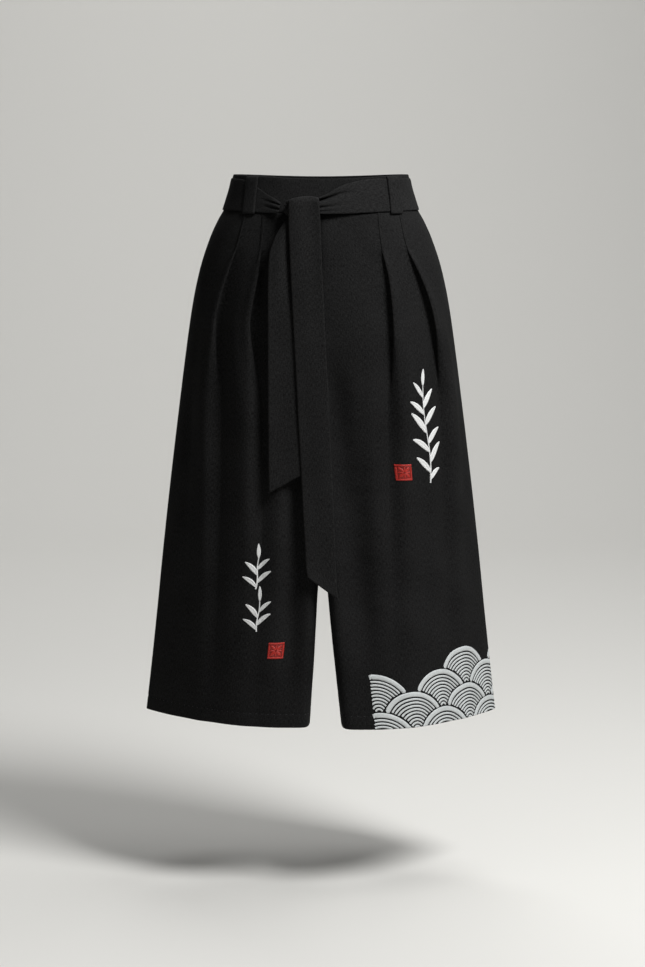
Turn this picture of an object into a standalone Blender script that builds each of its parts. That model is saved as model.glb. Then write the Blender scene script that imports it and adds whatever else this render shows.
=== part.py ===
"""Wide cropped trousers with pleated fronts and a tie sash, filled out with no wearer.

Metres, +Z up. The wearer faces -Y and has the left leg at +X. The origin is the middle of the
waist, at half the waistband's height. Each panel is a wall between an outer and an inner grid of
points. Both come from level outlines of the garment, which start at the side seam and end at the
centre seam or, below the crotch, at the inseam.
"""

import functools
import math

import bmesh
import bpy
import numpy as np

GARMENT = "tie_sash_culottes"
RIGHT, LEFT = -1, 1
FRONT, BACK = -1, 1

CLOTH = 0.0013
SEAM_GAP = 0.0003
HEM_Z = -0.762
HEM_DEPTH = 0.020
HEM_CLOTH = 0.0030
BAND_HALF = 0.02475
BAND_CLOTH = 0.0026
BAND_PROUD = 0.0004
FRONT_DIP = 0.0055
BACK_DIP = 0.0035
CROTCH_TOP = -0.185
CROTCH_Z = -0.290
OUTLINE_POINTS = 181
BAND_COLUMNS = 15
# Rows are level below the first height and follow the band's curved seam above the second.
ROWS_LEVEL, ROWS_CURVED = -0.110, -0.030
# How near a panel's long edges its folds fade out.
SEAM_FREE = 0.018


def named(columns, *rows):
    """A table as a dictionary of columns, each an array with one value for each row."""
    return dict(zip(columns.split(), np.array(rows, dtype=float).T))


# Level outlines. Half width at the side seam; the distance from the middle where the outline is
# fullest, on each front and on the backs; its depth there; how round it is towards the front or back
# and towards the side seam, where 1 is a corner; and the distance of each inseam from the middle.
LEVELS = named(
    "z side full_right full_left full_back front_right front_left back round_face round_side"
    " inner_right inner_left",
    (0.0250, 0.1260, 0.000, 0.000, 0.000, 0.0935, 0.0935, 0.0955, 2.30, 2.30, 0.0000, 0.0000),
    (0.0000, 0.1322, 0.000, 0.000, 0.000, 0.0982, 0.0982, 0.1010, 2.30, 2.30, 0.0000, 0.0000),
    (-0.0250, 0.1402, 0.000, 0.000, 0.000, 0.1035, 0.1035, 0.1080, 2.30, 2.30, 0.0000, 0.0000),
    (-0.0410, 0.1490, 0.000, 0.000, 0.000, 0.1070, 0.1070, 0.1130, 2.30, 2.28, 0.0000, 0.0000),
    (-0.0650, 0.1600, 0.001, 0.001, 0.003, 0.1110, 0.1110, 0.1200, 2.30, 2.25, 0.0000, 0.0000),
    (-0.1100, 0.1750, 0.004, 0.004, 0.010, 0.1155, 0.1155, 0.1300, 2.28, 2.15, 0.0000, 0.0000),
    (-0.1600, 0.1860, 0.009, 0.009, 0.022, 0.1185, 0.1187, 0.1365, 2.25, 2.00, 0.0000, 0.0000),
    (-0.2300, 0.1965, 0.015, 0.016, 0.038, 0.1208, 0.1210, 0.1370, 2.20, 1.80, 0.0000, 0.0000),
    (-0.2900, 0.2045, 0.021, 0.023, 0.050, 0.1220, 0.1222, 0.1330, 2.15, 1.66, 0.0005, 0.0005),
    (-0.3600, 0.2135, 0.027, 0.031, 0.062, 0.1235, 0.1240, 0.1290, 2.10, 1.52, 0.0012, 0.0014),
    (-0.4600, 0.2258, 0.034, 0.043, 0.074, 0.1262, 0.1275, 0.1255, 2.00, 1.36, 0.0020, 0.0030),
    (-0.5400, 0.2348, 0.040, 0.053, 0.082, 0.1292, 0.1320, 0.1245, 1.94, 1.25, 0.0030, 0.0070),
    (-0.6050, 0.2415, 0.045, 0.061, 0.088, 0.1322, 0.1378, 0.1245, 1.90, 1.18, 0.0060, 0.0125),
    (-0.6900, 0.2508, 0.050, 0.071, 0.095, 0.1362, 0.1458, 0.1250, 1.84, 1.10, 0.0110, 0.0215),
    (-0.7620, 0.2592, 0.055, 0.080, 0.100, 0.1395, 0.1530, 0.1260, 1.80, 1.05, 0.0155, 0.0290),
)
# How square each leg turns from its face to its inner side.
INNER_CORNER = {FRONT: 9.0, BACK: 3.0}

# Where the fold edges of the two pleats of each front run, as distances from the middle, and
# their form: how far the fold stands up and hangs over, the valley beside it, the soft ridge
# behind it, and how far the form reaches to each side. The fold is sewn down above -0.080.
PLEATS = named(
    "z outer_right inner_right outer_left inner_left lap over valley ridge reach",
    (-0.0250, 0.1040, 0.0780, 0.1095, 0.0795, 0.0001, 0.0000, 0.0000, 0.0000, 0.0100),
    (-0.0360, 0.1068, 0.0790, 0.1118, 0.0803, 0.0004, 0.0000, 0.0000, 0.0000, 0.0105),
    (-0.0800, 0.1185, 0.0830, 0.1222, 0.0853, 0.0007, 0.0000, 0.0002, 0.0002, 0.0120),
    (-0.0950, 0.1240, 0.0852, 0.1285, 0.0877, 0.0024, 0.0012, 0.0014, 0.0016, 0.0150),
    (-0.1200, 0.1335, 0.0905, 0.1378, 0.0915, 0.0038, 0.0030, 0.0028, 0.0030, 0.0190),
    (-0.1500, 0.1425, 0.0975, 0.1470, 0.0955, 0.0044, 0.0040, 0.0036, 0.0042, 0.0210),
    (-0.1900, 0.1505, 0.1040, 0.1572, 0.0990, 0.0038, 0.0030, 0.0042, 0.0050, 0.0230),
    (-0.2400, 0.1570, 0.1085, 0.1690, 0.1018, 0.0018, 0.0008, 0.0040, 0.0054, 0.0250),
    (-0.2950, 0.1620, 0.1110, 0.1760, 0.1025, 0.0000, 0.0000, 0.0032, 0.0050, 0.0260),
    (-0.4600, 0.1700, 0.1140, 0.1850, 0.1060, 0.0000, 0.0000, 0.0020, 0.0036, 0.0270),
    (-0.7620, 0.1800, 0.1180, 0.1960, 0.1120, 0.0000, 0.0000, 0.0004, 0.0010, 0.0280),
)
VALLEY_AT, VALLEY_WIDE = 0.007, 0.010
RIDGE_AT, RIDGE_WIDE = -0.015, 0.017
# The fold's edge stands this far proud of the line that it is folded on, and hangs back over it.
FOLD_LIP, FOLD_TUCK = 0.0010, 0.0005
# Where a front's columns lie round the corner to its inner side: metres before the corner, then
# shares of the way across the inner side. Above the crotch that way is at least LEAST_TURN.
BEFORE_CORNER = np.array([-0.014, -0.006, 0.0])
ACROSS_INNER = np.array([0.08, 0.2, 0.5, 1.0])
LEAST_TURN = 0.010

# Soft folds of a back: the distance of each from the middle at the seat and at the hem, how wide
# it is, and its depth at the seat and at the hem.
BACK_FOLDS = named(
    "x_seat x_hem wide deep_seat deep_hem",
    (0.1480, 0.2050, 0.022, 0.0015, 0.0030),
    (0.1020, 0.1680, 0.026, 0.0020, 0.0045),
    (0.0560, 0.1340, 0.024, 0.0010, 0.0030),
)
BACK_FOLD_TOP = -0.150
BACK_FOLD_START, BACK_FOLD_FADE = -0.074, 0.080
# The dart's line runs on as a column of points to the hem.
DART_X, DART_X_HEM = 0.0600, 0.1450
DART_END, DART_FADE = -0.135, 0.050
DART_LAP = 0.0005
DART_REACH = 0.010
CROWDING = 1.8

# The sash round the waist: its upper and lower edge and how far it stands off the band, by the
# distance from the middle of the front. The knot gathers it to under half its width.
SASH = 0.0016
WRAP_RIGHT = named(
    "x upper lower off folds",
    (0.0535, -0.0140, -0.0290, 0.0048, 1.0),
    (0.0640, -0.0080, -0.0292, 0.0030, 0.9),
    (0.0760, -0.0020, -0.0288, 0.0010, 0.5),
    (0.0840, 0.0030, -0.0285, 0.0003, 0.0),
    (0.1000, 0.0120, -0.0275, 0.0003, 0.0),
    (0.1120, 0.0175, -0.0268, 0.0003, 0.0),
    (0.1260, 0.0192, -0.0262, 0.0003, 0.0),
)
WRAP_LEFT = named(
    "x upper lower off folds",
    (-0.0030, -0.0070, -0.0300, 0.0052, 1.0),
    (0.0080, -0.0020, -0.0305, 0.0042, 1.0),
    (0.0340, 0.0110, -0.0300, 0.0018, 0.8),
    (0.0640, 0.0175, -0.0285, 0.0008, 0.5),
    (0.0860, 0.0192, -0.0275, 0.0003, 0.0),
    (0.1260, 0.0192, -0.0262, 0.0003, 0.0),
)
WRAP_FOLD = 0.0016

KNOT_CENTRE = (-0.0286, -0.1144, -0.0215)
KNOT_HALF = (0.0242, 0.0105, 0.0140)

# The hanging ends of the sash: height, both edges, and depth. The long end comes over the knot.
LONG_END = named(
    "z right left y",
    (-0.0064, -0.0440, -0.0030, -0.1100),
    (-0.0052, -0.0445, -0.0030, -0.1150),
    (-0.0055, -0.0450, -0.0025, -0.1205),
    (-0.0085, -0.0452, -0.0022, -0.1244),
    (-0.0145, -0.0455, -0.0020, -0.1260),
    (-0.0400, -0.0456, -0.0005, -0.1270),
    (-0.1000, -0.0432, 0.0018, -0.1277),
    (-0.2000, -0.0382, 0.0065, -0.1285),
    (-0.3000, -0.0330, 0.0112, -0.1290),
    (-0.4000, -0.0278, 0.0163, -0.1294),
    (-0.5000, -0.0225, 0.0212, -0.1330),
    (-0.5300, -0.0209, 0.0227, -0.1357),
    (-0.5450, -0.0185, 0.0252, -0.1378),
)
LONG_CUT = 0.032
SHORT_END = named(
    "z right left y folds",
    (-0.0360, -0.0525, -0.0290, -0.1170, 1.0),
    (-0.0480, -0.0590, -0.0275, -0.1192, 1.0),
    (-0.0650, -0.0660, -0.0265, -0.1208, 0.9),
    (-0.0900, -0.0730, -0.0262, -0.1222, 0.6),
    (-0.1300, -0.0748, -0.0270, -0.1232, 0.3),
    (-0.2000, -0.0750, -0.0275, -0.1240, 0.1),
    (-0.3000, -0.0748, -0.0275, -0.1248, 0.0),
    (-0.3990, -0.0740, -0.0270, -0.1270, 0.0),
)
SHORT_CUT = -0.026
SHORT_FOLD = 0.0010

# Belt loops: the middle's distance from the front's or back's middle at the top and the bottom.
LOOP_WIDE = 0.0212
LOOP_CLOTH = 0.0018
LOOPS = {
    "loop_front_right": (RIGHT, FRONT, 0.0955, 0.1015),
    "loop_front_left": (LEFT, FRONT, 0.1005, 0.1070),
    "loop_back_right": (RIGHT, BACK, 0.0700, 0.0740),
    "loop_back_left": (LEFT, BACK, 0.0700, 0.0740),
}
# The loop's outer face from its top tack to its bottom tack.
LOOP_PATH = named(
    "z off",
    (0.0222, 0.0031),
    (0.0207, 0.0044),
    (0.0150, 0.0048),
    (-0.0050, 0.0049),
    (-0.0250, 0.0048),
    (-0.0290, 0.0043),
    (-0.0302, 0.0030),
)


def smooth(at, values, where):
    """Reads a column with a curve through its rows that never overshoots them."""
    order = np.argsort(at)
    x, y = at[order], values[order]
    step = np.diff(x)
    slope = np.diff(y) / step
    tangent = np.concatenate([slope[:1], np.zeros(len(x) - 2), slope[-1:]])
    same_way = slope[:-1] * slope[1:] > 0
    inner = np.zeros(len(x) - 2)
    inner[same_way] = 2 / (1 / slope[:-1][same_way] + 1 / slope[1:][same_way])
    tangent[1:-1] = inner
    where = np.clip(where, x[0], x[-1])
    i = np.clip(np.searchsorted(x, where) - 1, 0, len(step) - 1)
    t = (where - x[i]) / step[i]
    start = y[i] * (1 + 2 * t) * (1 - t) ** 2 + y[i + 1] * t**2 * (3 - 2 * t)
    return start + step[i] * (tangent[i] * t * (1 - t) ** 2 - tangent[i + 1] * t**2 * (1 - t))


def level(column, z):
    return float(smooth(LEVELS["z"], LEVELS[column], z))


def evenly(points):
    """The same polyline with points an equal way apart."""
    run = np.concatenate([[0], np.cumsum(np.linalg.norm(np.diff(points, axis=0), axis=1))])
    at = np.linspace(0, run[-1], len(points))
    return np.column_stack([np.interp(at, run, points[:, k]) for k in range(2)])


def quarter_turn(round_across, round_deep):
    """Across and deep shares of a quarter turn, from its side to its full depth."""
    angle = np.linspace(0, math.pi / 2, OUTLINE_POINTS)
    return np.cos(angle) ** (2 / round_across), np.sin(angle) ** (2 / round_deep)


def crotch_share(z):
    """0 above the crotch curve, 1 below it, along a quarter of an ellipse between."""
    t = np.clip((CROTCH_TOP - z) / (CROTCH_TOP - CROTCH_Z), 0, 1)
    return 1 - math.sqrt(1 - t * t)


def softened(points, passes=30):
    """Rounds the bends of a polyline and keeps its two ends."""
    points = evenly(points)
    for _ in range(passes):
        points[1:-1] = (points[:-2] + 2 * points[1:-1] + points[2:]) / 4
    return points


@functools.lru_cache(maxsize=None)
def outline(side, face, z):
    """A quarter of the garment's level outline, as points, and the way along it."""
    name = "right" if side == RIGHT else "left"
    half, inner = level("side", z), level(f"inner_{name}", z)
    full = level(f"full_{name}" if face == FRONT else "full_back", z)
    depth = level(f"front_{name}" if face == FRONT else "back", z)
    across, deep = quarter_turn(level("round_face", z), level("round_side", z))
    points = np.column_stack([full + (half - full) * across, depth * deep])
    if full - inner > 1e-4:
        # Toward the inseam the cloth turns into the leg, as far as the centre seam lets it.
        across, deep = quarter_turn(INNER_CORNER[face], INNER_CORNER[face])
        seam = np.array([inner, depth * (1 - crotch_share(z))])
        leg = np.column_stack([full - (full - inner) * across, depth * deep])[::-1]
        leg = leg[leg[:, 1] >= seam[1] - 1e-9]
        span = np.linspace(leg[-1], seam, 30)[1:] if crotch_share(z) < 1 else leg[:0]
        points = np.concatenate([points, softened(np.concatenate([leg, span]))[1:]])
    points = evenly(points) * (side, face)
    run = np.concatenate([[0], np.cumsum(np.linalg.norm(np.diff(points, axis=0), axis=1))])
    return points, run


def spot(side, face, z, way, off=0.0):
    """The point a given way from the side seam at a height, moved out by off."""
    points, run = outline(side, face, round(z, 6))
    here = np.array([np.interp(way, run, points[:, k]) for k in range(2)])
    ends = np.clip([way - 0.002, way + 0.002], 0, run[-1])
    ahead = [np.interp(ends[1], run, points[:, k]) - np.interp(ends[0], run, points[:, k]) for k in range(2)]
    if ends[0] == 0:
        ahead = [0.0, face]
    if ends[1] == run[-1] and crotch_share(z) == 0:
        ahead = [-side, 0.0]
    out = np.array([ahead[1], -ahead[0]]) * side * face
    here = here + out / np.linalg.norm(out) * off
    return here[0], here[1], z


def way_to(side, face, z, x):
    """How far along the outline the front or back is a distance x from the middle."""
    points, run = outline(side, face, round(z, 6))
    reach = np.abs(points[:, 0])
    last = int(np.argmax(np.abs(points[:, 1]))) + 1
    return float(np.interp(-x, -reach[:last], run[:last]))


def length(side, face, z):
    return outline(side, face, round(z, 6))[1][-1]


def band_edge(face, x, z):
    """Height of a line of the band that is level at the side seam and dips at the middle."""
    dip = FRONT_DIP if face == FRONT else BACK_DIP
    share = min(abs(x) / level("side", z), 1)
    return z - dip * (1 - share**2) ** 1.5


def mesh_object(name, mesh, material):
    """Adds the mesh as an object of the garment's collection."""
    made = bpy.data.objects.new(name, mesh)
    parts.objects.link(made)
    mesh.materials.append(material)
    mesh.shade_smooth()
    mesh.set_sharp_from_angle(angle=math.radians(40))
    return made


def wall(name, outer, inner, material, ring=False):
    """A closed wall between two grids of points, joined along its open edges."""
    rows, columns = outer.shape[:2]
    bm = bmesh.new()
    skins = [[[bm.verts.new(p) for p in row] for row in grid] for grid in (outer, inner)]
    spans = range(columns) if ring else range(columns - 1)
    for skin in skins:
        for r in range(rows - 1):
            for c in spans:
                d = (c + 1) % columns
                bm.faces.new((skin[r][c], skin[r][d], skin[r + 1][d], skin[r + 1][c]))
    out, into = skins
    for r in (0, rows - 1):
        for c in spans:
            d = (c + 1) % columns
            bm.faces.new((out[r][c], out[r][d], into[r][d], into[r][c]))
    if not ring:
        for c in (0, columns - 1):
            for r in range(rows - 1):
                bm.faces.new((out[r][c], out[r + 1][c], into[r + 1][c], into[r][c]))
    bmesh.ops.recalc_face_normals(bm, faces=bm.faces)
    mesh = bpy.data.meshes.new(name)
    bm.to_mesh(mesh)
    bm.free()
    return mesh_object(name, mesh, material)


def normals(grid, sign):
    """Outward directions of a grid of points."""
    out = np.cross(np.gradient(grid, axis=1), np.gradient(grid, axis=0)) * sign
    return out / np.linalg.norm(out, axis=2, keepdims=True)


def panel_heights():
    """Heights of a panel's rows, close together at the pleats, the crotch and the hem."""
    top = [-BAND_HALF - SEAM_GAP, -0.038, -0.058, -0.080, -0.093, -0.108, -0.130, -0.156]
    turns = [math.sin(math.radians(a)) for a in (0, 18, 36, 50, 62, 72, 81, 90)]
    curve = [CROTCH_TOP - (CROTCH_TOP - CROTCH_Z) * t for t in turns]
    hem = [HEM_Z + HEM_DEPTH + 0.001, HEM_Z + HEM_DEPTH, HEM_Z]
    return top + curve + [-0.320, -0.365, -0.430, -0.510, -0.590, -0.665] + hem


def corner_ways(side, z, start):
    """Ways from a start to a front's inner edge, close together where the leg turns inward."""
    end = length(side, FRONT, z) - SEAM_GAP / 2
    depth = level("front_right" if side == RIGHT else "front_left", z)
    run = max(depth * crotch_share(z), LEAST_TURN)
    corner = end - run
    before = np.linspace(start, corner + BEFORE_CORNER[0], 5)[:-1]
    return np.concatenate([before, corner + BEFORE_CORNER, corner + run * ACROSS_INNER])


def inner_ways(side, face, z, start, count=12):
    """Ways from a start to a panel's inner edge. Above the crotch they crowd at the edge, so that
    the cloth that the crotch adds opens up between the last ones."""
    run = length(side, face, z) - SEAM_GAP / 2 - start
    leg = length(side, face, CROTCH_Z) - SEAM_GAP / 2 - start
    crowding = min(max(leg / run, 1), CROWDING)
    return start + run * (1 - (1 - np.linspace(0, 1, count + 1)) ** crowding)


def bump(way, centre, wide):
    return math.exp(-(((way - centre) / wide) ** 2))


def pleat(column, z):
    return float(smooth(PLEATS["z"], PLEATS[column], z))


def front_columns(side, z):
    """Ways along the outline of a front's columns, and what each adds to the outer skin.

    Each column is a way on the outer skin, a way on the inner skin and the lap's height.
    """
    name = "right" if side == RIGHT else "left"
    lap, over = pleat("lap", z), pleat("over", z)
    edges = [way_to(side, FRONT, z, pleat(f"{which}_{name}", z)) for which in ("outer", "inner")]
    reach = min(pleat("reach", z), 0.45 * (edges[1] - edges[0]))
    columns = [(w, w, 0.0) for w in np.linspace(SEAM_GAP / 2, edges[0] - reach, 6)[:-1]]
    for edge in edges:
        for share, height in ((-1, 0.0), (-0.45, 0.45), (-0.14, 0.95)):
            columns.append((edge + share * reach, edge + share * reach, height * lap))
        columns.append((edge, edge - FOLD_TUCK, 0.8 * lap))
        columns.append((edge + FOLD_LIP - over, edge + FOLD_LIP, 0.0))
        columns += [(edge + share * reach, edge + share * reach, 0.0) for share in (0.4, 1)]
        if edge == edges[0]:
            middle = (edges[0] + edges[1]) / 2
            columns.append((middle, middle, 0.0))
    columns += [(w, w, 0.0) for w in corner_ways(side, z, edges[1] + reach)[1:]]
    return columns, edges


def front_relief(z, way, edges):
    """How far the pleats' ridges and valleys stand off the plain outline."""
    return sum(
        pleat("ridge", z) * bump(way, edge + RIDGE_AT, RIDGE_WIDE)
        - pleat("valley", z) * bump(way, edge + VALLEY_AT, VALLEY_WIDE)
        for edge in edges
    )


def back_columns(side, z):
    """A back's columns, as for a front, and where its folds run. The only lap is the dart's."""
    down = np.clip(z / HEM_Z, 0, 1)
    dart = way_to(side, BACK, z, DART_X * (1 - down) + DART_X_HEM * down)
    lap = DART_LAP * np.clip((z - DART_END) / DART_FADE, 0, 1)
    columns = [(w, w, 0.0) for w in np.linspace(SEAM_GAP / 2, dart - DART_REACH, 8)]
    columns += [(dart, dart, lap), (dart + 0.001, dart + 0.001, 0.0)]
    columns += [(w, w, 0.0) for w in inner_ways(side, BACK, z, dart + DART_REACH)]
    share = below_seat(z)
    places = BACK_FOLDS["x_seat"] * (1 - share) + BACK_FOLDS["x_hem"] * share
    return columns, [way_to(side, BACK, z, x) for x in places]


def below_seat(z):
    """0 at the seat and above, 1 at the hem."""
    return float(np.clip((BACK_FOLD_TOP - z) / (BACK_FOLD_TOP - HEM_Z), 0, 1))


def back_relief(z, way, places):
    """Soft folds that open from the seat down to the hem."""
    share = below_seat(z)
    start = float(np.clip((BACK_FOLD_START - z) / BACK_FOLD_FADE, 0, 1))
    deep = BACK_FOLDS["deep_seat"] * (1 - share) + BACK_FOLDS["deep_hem"] * share
    folds = zip(places, BACK_FOLDS["wide"], deep)
    return start * sum(height * bump(way, place, wide) for place, wide, height in folds)


def seam_free(relief, way, end):
    """Relief fades out at a panel's two long edges, so neighbours meet there."""
    near = min(way, end - way) / SEAM_FREE
    return relief * min(max(near, 0.0), 1.0) ** 2 if near < 1 else relief


def panel(name, side, face, material):
    """A front or a back, with its hem turned up inside."""
    outer, soft, inner_places = [], [], []
    for z in panel_heights():
        columns, mark = front_columns(side, z) if face == FRONT else back_columns(side, z)
        relief_of = front_relief if face == FRONT else back_relief
        end = length(side, face, z)
        # Rows follow the band's curved seam at the top and level out below it.
        curved = float(np.clip((z - ROWS_LEVEL) / (ROWS_CURVED - ROWS_LEVEL), 0, 1))
        rows = ([], [])
        for way, inner_way, lap in columns:
            for row, place, height in ((rows[0], way, lap), (rows[1], inner_way, 0.0)):
                x = spot(side, face, z, place)[0]
                high = z + curved * (band_edge(face, x, z) - z)
                relief = seam_free(relief_of(z, place, mark), place, end)
                row.append(spot(side, face, high, place * length(side, face, high) / end, relief + height))
        outer.append(rows[0])
        soft.append(rows[1])
    outer, soft = np.array(outer), np.array(soft)
    out = normals(soft, -side * face)
    above = np.array([crotch_share(z) == 0 for z in panel_heights()])
    below = np.array([z <= CROTCH_Z for z in panel_heights()])
    out[:, 0, 1] = 0
    out[above, -1, 0] = 0
    out[below, -1, 1] = 0
    out /= np.linalg.norm(out, axis=2, keepdims=True)
    thick = np.array([HEM_CLOTH if z <= HEM_Z + HEM_DEPTH else CLOTH for z in panel_heights()])
    inner = soft - out * thick[:, None, None]
    return wall(name, outer, inner, material)


def quarter_ways(side, face, z, count=BAND_COLUMNS):
    return np.linspace(0, length(side, face, z), count)


# The quarters of the waist in turn from the left side seam, and whether each one is run backwards.
QUARTERS = ((LEFT, FRONT, False), (RIGHT, FRONT, True), (RIGHT, BACK, False), (LEFT, BACK, True))


def band_ring(z, off):
    """One level line of the waistband, round the whole waist from the left side seam."""
    ring = []
    for side, face, back_way in QUARTERS:
        ways = quarter_ways(side, face, z)
        ways = ways[::-1] if back_way else ways
        for way in ways[:-1]:
            x = spot(side, face, z, way)[0]
            high = band_edge(face, x, z)
            ring.append(spot(side, face, high, way * length(side, face, high) / length(side, face, z), off))
    return ring


def waistband(material):
    heights = np.linspace(BAND_HALF, -BAND_HALF, 4)
    outer = np.array([band_ring(z, BAND_PROUD) for z in heights])
    inner = np.array([band_ring(z, BAND_PROUD - BAND_CLOTH) for z in heights])
    return wall("waistband", outer, inner, material, ring=True)


def wrap_line(side, face, way, table, at, across=9):
    """One line across the sash: points of its outer and its inner skin, top to bottom."""
    middle = spot(side, face, 0.0, way)[0]
    upper, lower, off, folds = (
        float(smooth(table["x"], table[column], at)) for column in ("upper", "lower", "off", "folds")
    )
    outer, inner = [], []
    for share in np.linspace(0, 1, across):
        z = upper + (lower - upper) * share
        z += 0.0 if face == FRONT else band_edge(face, middle, 0.0)
        lift = WRAP_FOLD * folds * (0.5 - 0.5 * math.cos(4 * math.pi * share))
        along = way * length(side, face, z) / length(side, face, 0.0)
        base = BAND_PROUD + off + lift
        outer.append(spot(side, face, z, along, base + SASH))
        inner.append(spot(side, face, z, along, base))
    return outer, inner


def wrap_front(side, table):
    """The sash's lines on one half of the front, from the side seam to the knot."""
    last = way_to(side, FRONT, 0.0, max(table["x"][0], 0.0))
    ways = quarter_ways(side, FRONT, 0.0)
    ways = np.append(ways[ways < last - 0.004], last)
    lines = [wrap_line(side, FRONT, way, table, abs(spot(side, FRONT, 0.0, way)[0])) for way in ways]
    if table["x"][0] < 0:
        beyond = way_to(-side, FRONT, 0.0, -table["x"][0])
        lines.append(wrap_line(-side, FRONT, beyond, table, table["x"][0]))
    return lines


def wrap_back(side):
    """The sash's lines on one half of the back, from the side seam to the middle."""
    table = WRAP_LEFT if side == LEFT else WRAP_RIGHT
    return [wrap_line(side, BACK, way, table, table["x"][-1]) for way in quarter_ways(side, BACK, 0.0)]


def sash_wrap(material):
    """The sash from one side of the knot round the back to the other side."""
    lines = wrap_front(RIGHT, WRAP_RIGHT)[::-1] + wrap_back(RIGHT)[1:]
    lines += wrap_back(LEFT)[-2::-1] + wrap_front(LEFT, WRAP_LEFT)[1:]
    outer = np.array([line[0] for line in lines])
    inner = np.array([line[1] for line in lines])
    return wall("sash_wrap", outer, inner, material)


def sash_knot(material):
    """The knot is a soft lump that the ends hide but for its edge."""
    bm = bmesh.new()
    bmesh.ops.create_uvsphere(bm, u_segments=20, v_segments=10, radius=1)
    for v in bm.verts:
        v.co = [
            centre + half * math.copysign(abs(c) ** 0.75, c)
            for centre, half, c in zip(KNOT_CENTRE, KNOT_HALF, v.co)
        ]
    mesh = bpy.data.meshes.new("sash_knot")
    bm.to_mesh(mesh)
    bm.free()
    return mesh_object("sash_knot", mesh, material)


def sash_end(name, table, cut, material, columns=7):
    """A hanging end of the sash, cut slantwise. A positive cut leaves the left corner lower."""
    rows = len(table["z"])
    grid = np.zeros((rows, columns, 3))
    shares = np.linspace(0, 1, columns)
    slant = np.clip((table["z"][0] - table["z"]) / (table["z"][0] - table["z"][-1]), 0, 1) ** 6
    for r in range(rows):
        grid[r, :, 0] = table["right"][r] + (table["left"][r] - table["right"][r]) * shares
        grid[r, :, 1] = table["y"][r]
        low = shares if cut > 0 else 1 - shares
        grid[r, :, 2] = table["z"][r] - abs(cut) * slant[r] * low
        if "folds" in table:
            grid[r, :, 1] -= SHORT_FOLD * table["folds"][r] * np.sin(2 * math.pi * shares) ** 2
    out = normals(grid, 1)
    out *= np.sign(-out[-1, 0, 1])
    return wall(name, grid + out * SASH / 2, grid - out * SASH / 2, material)


def belt_loop(name, side, face, top_x, bottom_x, material):
    """A strip sewn across the band, with the sash under it."""
    outer, inner = [], []
    for z, off in zip(LOOP_PATH["z"], LOOP_PATH["off"]):
        share = (LOOP_PATH["z"][0] - z) / (LOOP_PATH["z"][0] - LOOP_PATH["z"][-1])
        x = top_x + (bottom_x - top_x) * share
        z += 0.0 if face == FRONT else band_edge(face, x, 0.0)
        middle = way_to(side, face, z, x)
        ways = middle + np.linspace(-0.5, 0.5, 5) * LOOP_WIDE
        outer.append([spot(side, face, z, way, off) for way in ways])
        inner.append([spot(side, face, z, way, off - LOOP_CLOTH) for way in ways])
    return wall(name, np.array(outer), np.array(inner), material)


def cloth(name, colour, roughness):
    """A woven cloth as a plain Principled material."""
    made = bpy.data.materials.new(name)
    made.use_nodes = True
    shader = made.node_tree.nodes["Principled BSDF"]
    shader.inputs["Base Color"].default_value = (*colour, 1)
    shader.inputs["Roughness"].default_value = roughness
    shader.inputs["Metallic"].default_value = 0.0
    return made


for thing in list(bpy.data.objects):
    bpy.data.objects.remove(thing)
parts = bpy.data.collections.new(GARMENT)
bpy.context.scene.collection.children.link(parts)

BLACK_WEAVE = (0.009, 0.009, 0.010)
panel_cloth = cloth("black_plain_weave", BLACK_WEAVE, 0.85)
band_cloth = cloth("black_band_cloth", BLACK_WEAVE, 0.85)
sash_cloth = cloth("black_sash_cloth", BLACK_WEAVE, 0.80)
loop_cloth = cloth("black_loop_cloth", BLACK_WEAVE, 0.82)

panel("front_right", RIGHT, FRONT, panel_cloth)
panel("front_left", LEFT, FRONT, panel_cloth)
panel("back_right", RIGHT, BACK, panel_cloth)
panel("back_left", LEFT, BACK, panel_cloth)
waistband(band_cloth)
sash_wrap(sash_cloth)
sash_knot(sash_cloth)
sash_end("sash_long_end", LONG_END, LONG_CUT, sash_cloth)
sash_end("sash_short_end", SHORT_END, SHORT_CUT, sash_cloth)
for loop_name, placing in LOOPS.items():
    belt_loop(loop_name, *placing, loop_cloth)
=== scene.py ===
import math

import bpy
import numpy as np
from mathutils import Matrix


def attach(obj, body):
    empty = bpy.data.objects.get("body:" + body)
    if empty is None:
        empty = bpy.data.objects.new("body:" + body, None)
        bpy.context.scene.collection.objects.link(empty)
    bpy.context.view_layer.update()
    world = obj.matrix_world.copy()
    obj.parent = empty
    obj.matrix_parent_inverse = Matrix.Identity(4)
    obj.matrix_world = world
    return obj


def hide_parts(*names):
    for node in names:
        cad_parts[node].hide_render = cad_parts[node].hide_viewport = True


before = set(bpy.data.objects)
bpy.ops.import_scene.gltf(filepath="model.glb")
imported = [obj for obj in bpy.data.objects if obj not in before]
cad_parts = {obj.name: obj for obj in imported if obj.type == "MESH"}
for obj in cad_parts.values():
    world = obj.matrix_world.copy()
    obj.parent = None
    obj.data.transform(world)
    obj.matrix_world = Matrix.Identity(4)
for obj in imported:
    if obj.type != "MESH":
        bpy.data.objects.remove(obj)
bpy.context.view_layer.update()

# Backs. Each leg's back is one piece of black plain-woven cloth with a dart at the waist. It is
# seamed to the front at the side and the inseam, and to the other back in the middle. The cloth
# hangs from the seat in soft folds, and its hem is turned up 20 mm and caught by hand.
RIGHT, LEFT = -1, 1
FRONT, BACK = -1, 1
SIDE_NAMES = {RIGHT: "right", LEFT: "left"}
HEM_Z = -0.762
HEM_DEPTH = 0.020
BAND_HALF = 0.02475
FRONT_DIP, BACK_DIP = 0.0055, 0.0035
CROTCH_TOP, CROTCH_Z = -0.185, -0.290
OUTLINE_POINTS = 161
PANEL_CLOTH = 0.0006
PANEL_ROW, HIGH_ROWS_END, LOW_ROWS = 0.0030, -0.300, 76
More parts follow.
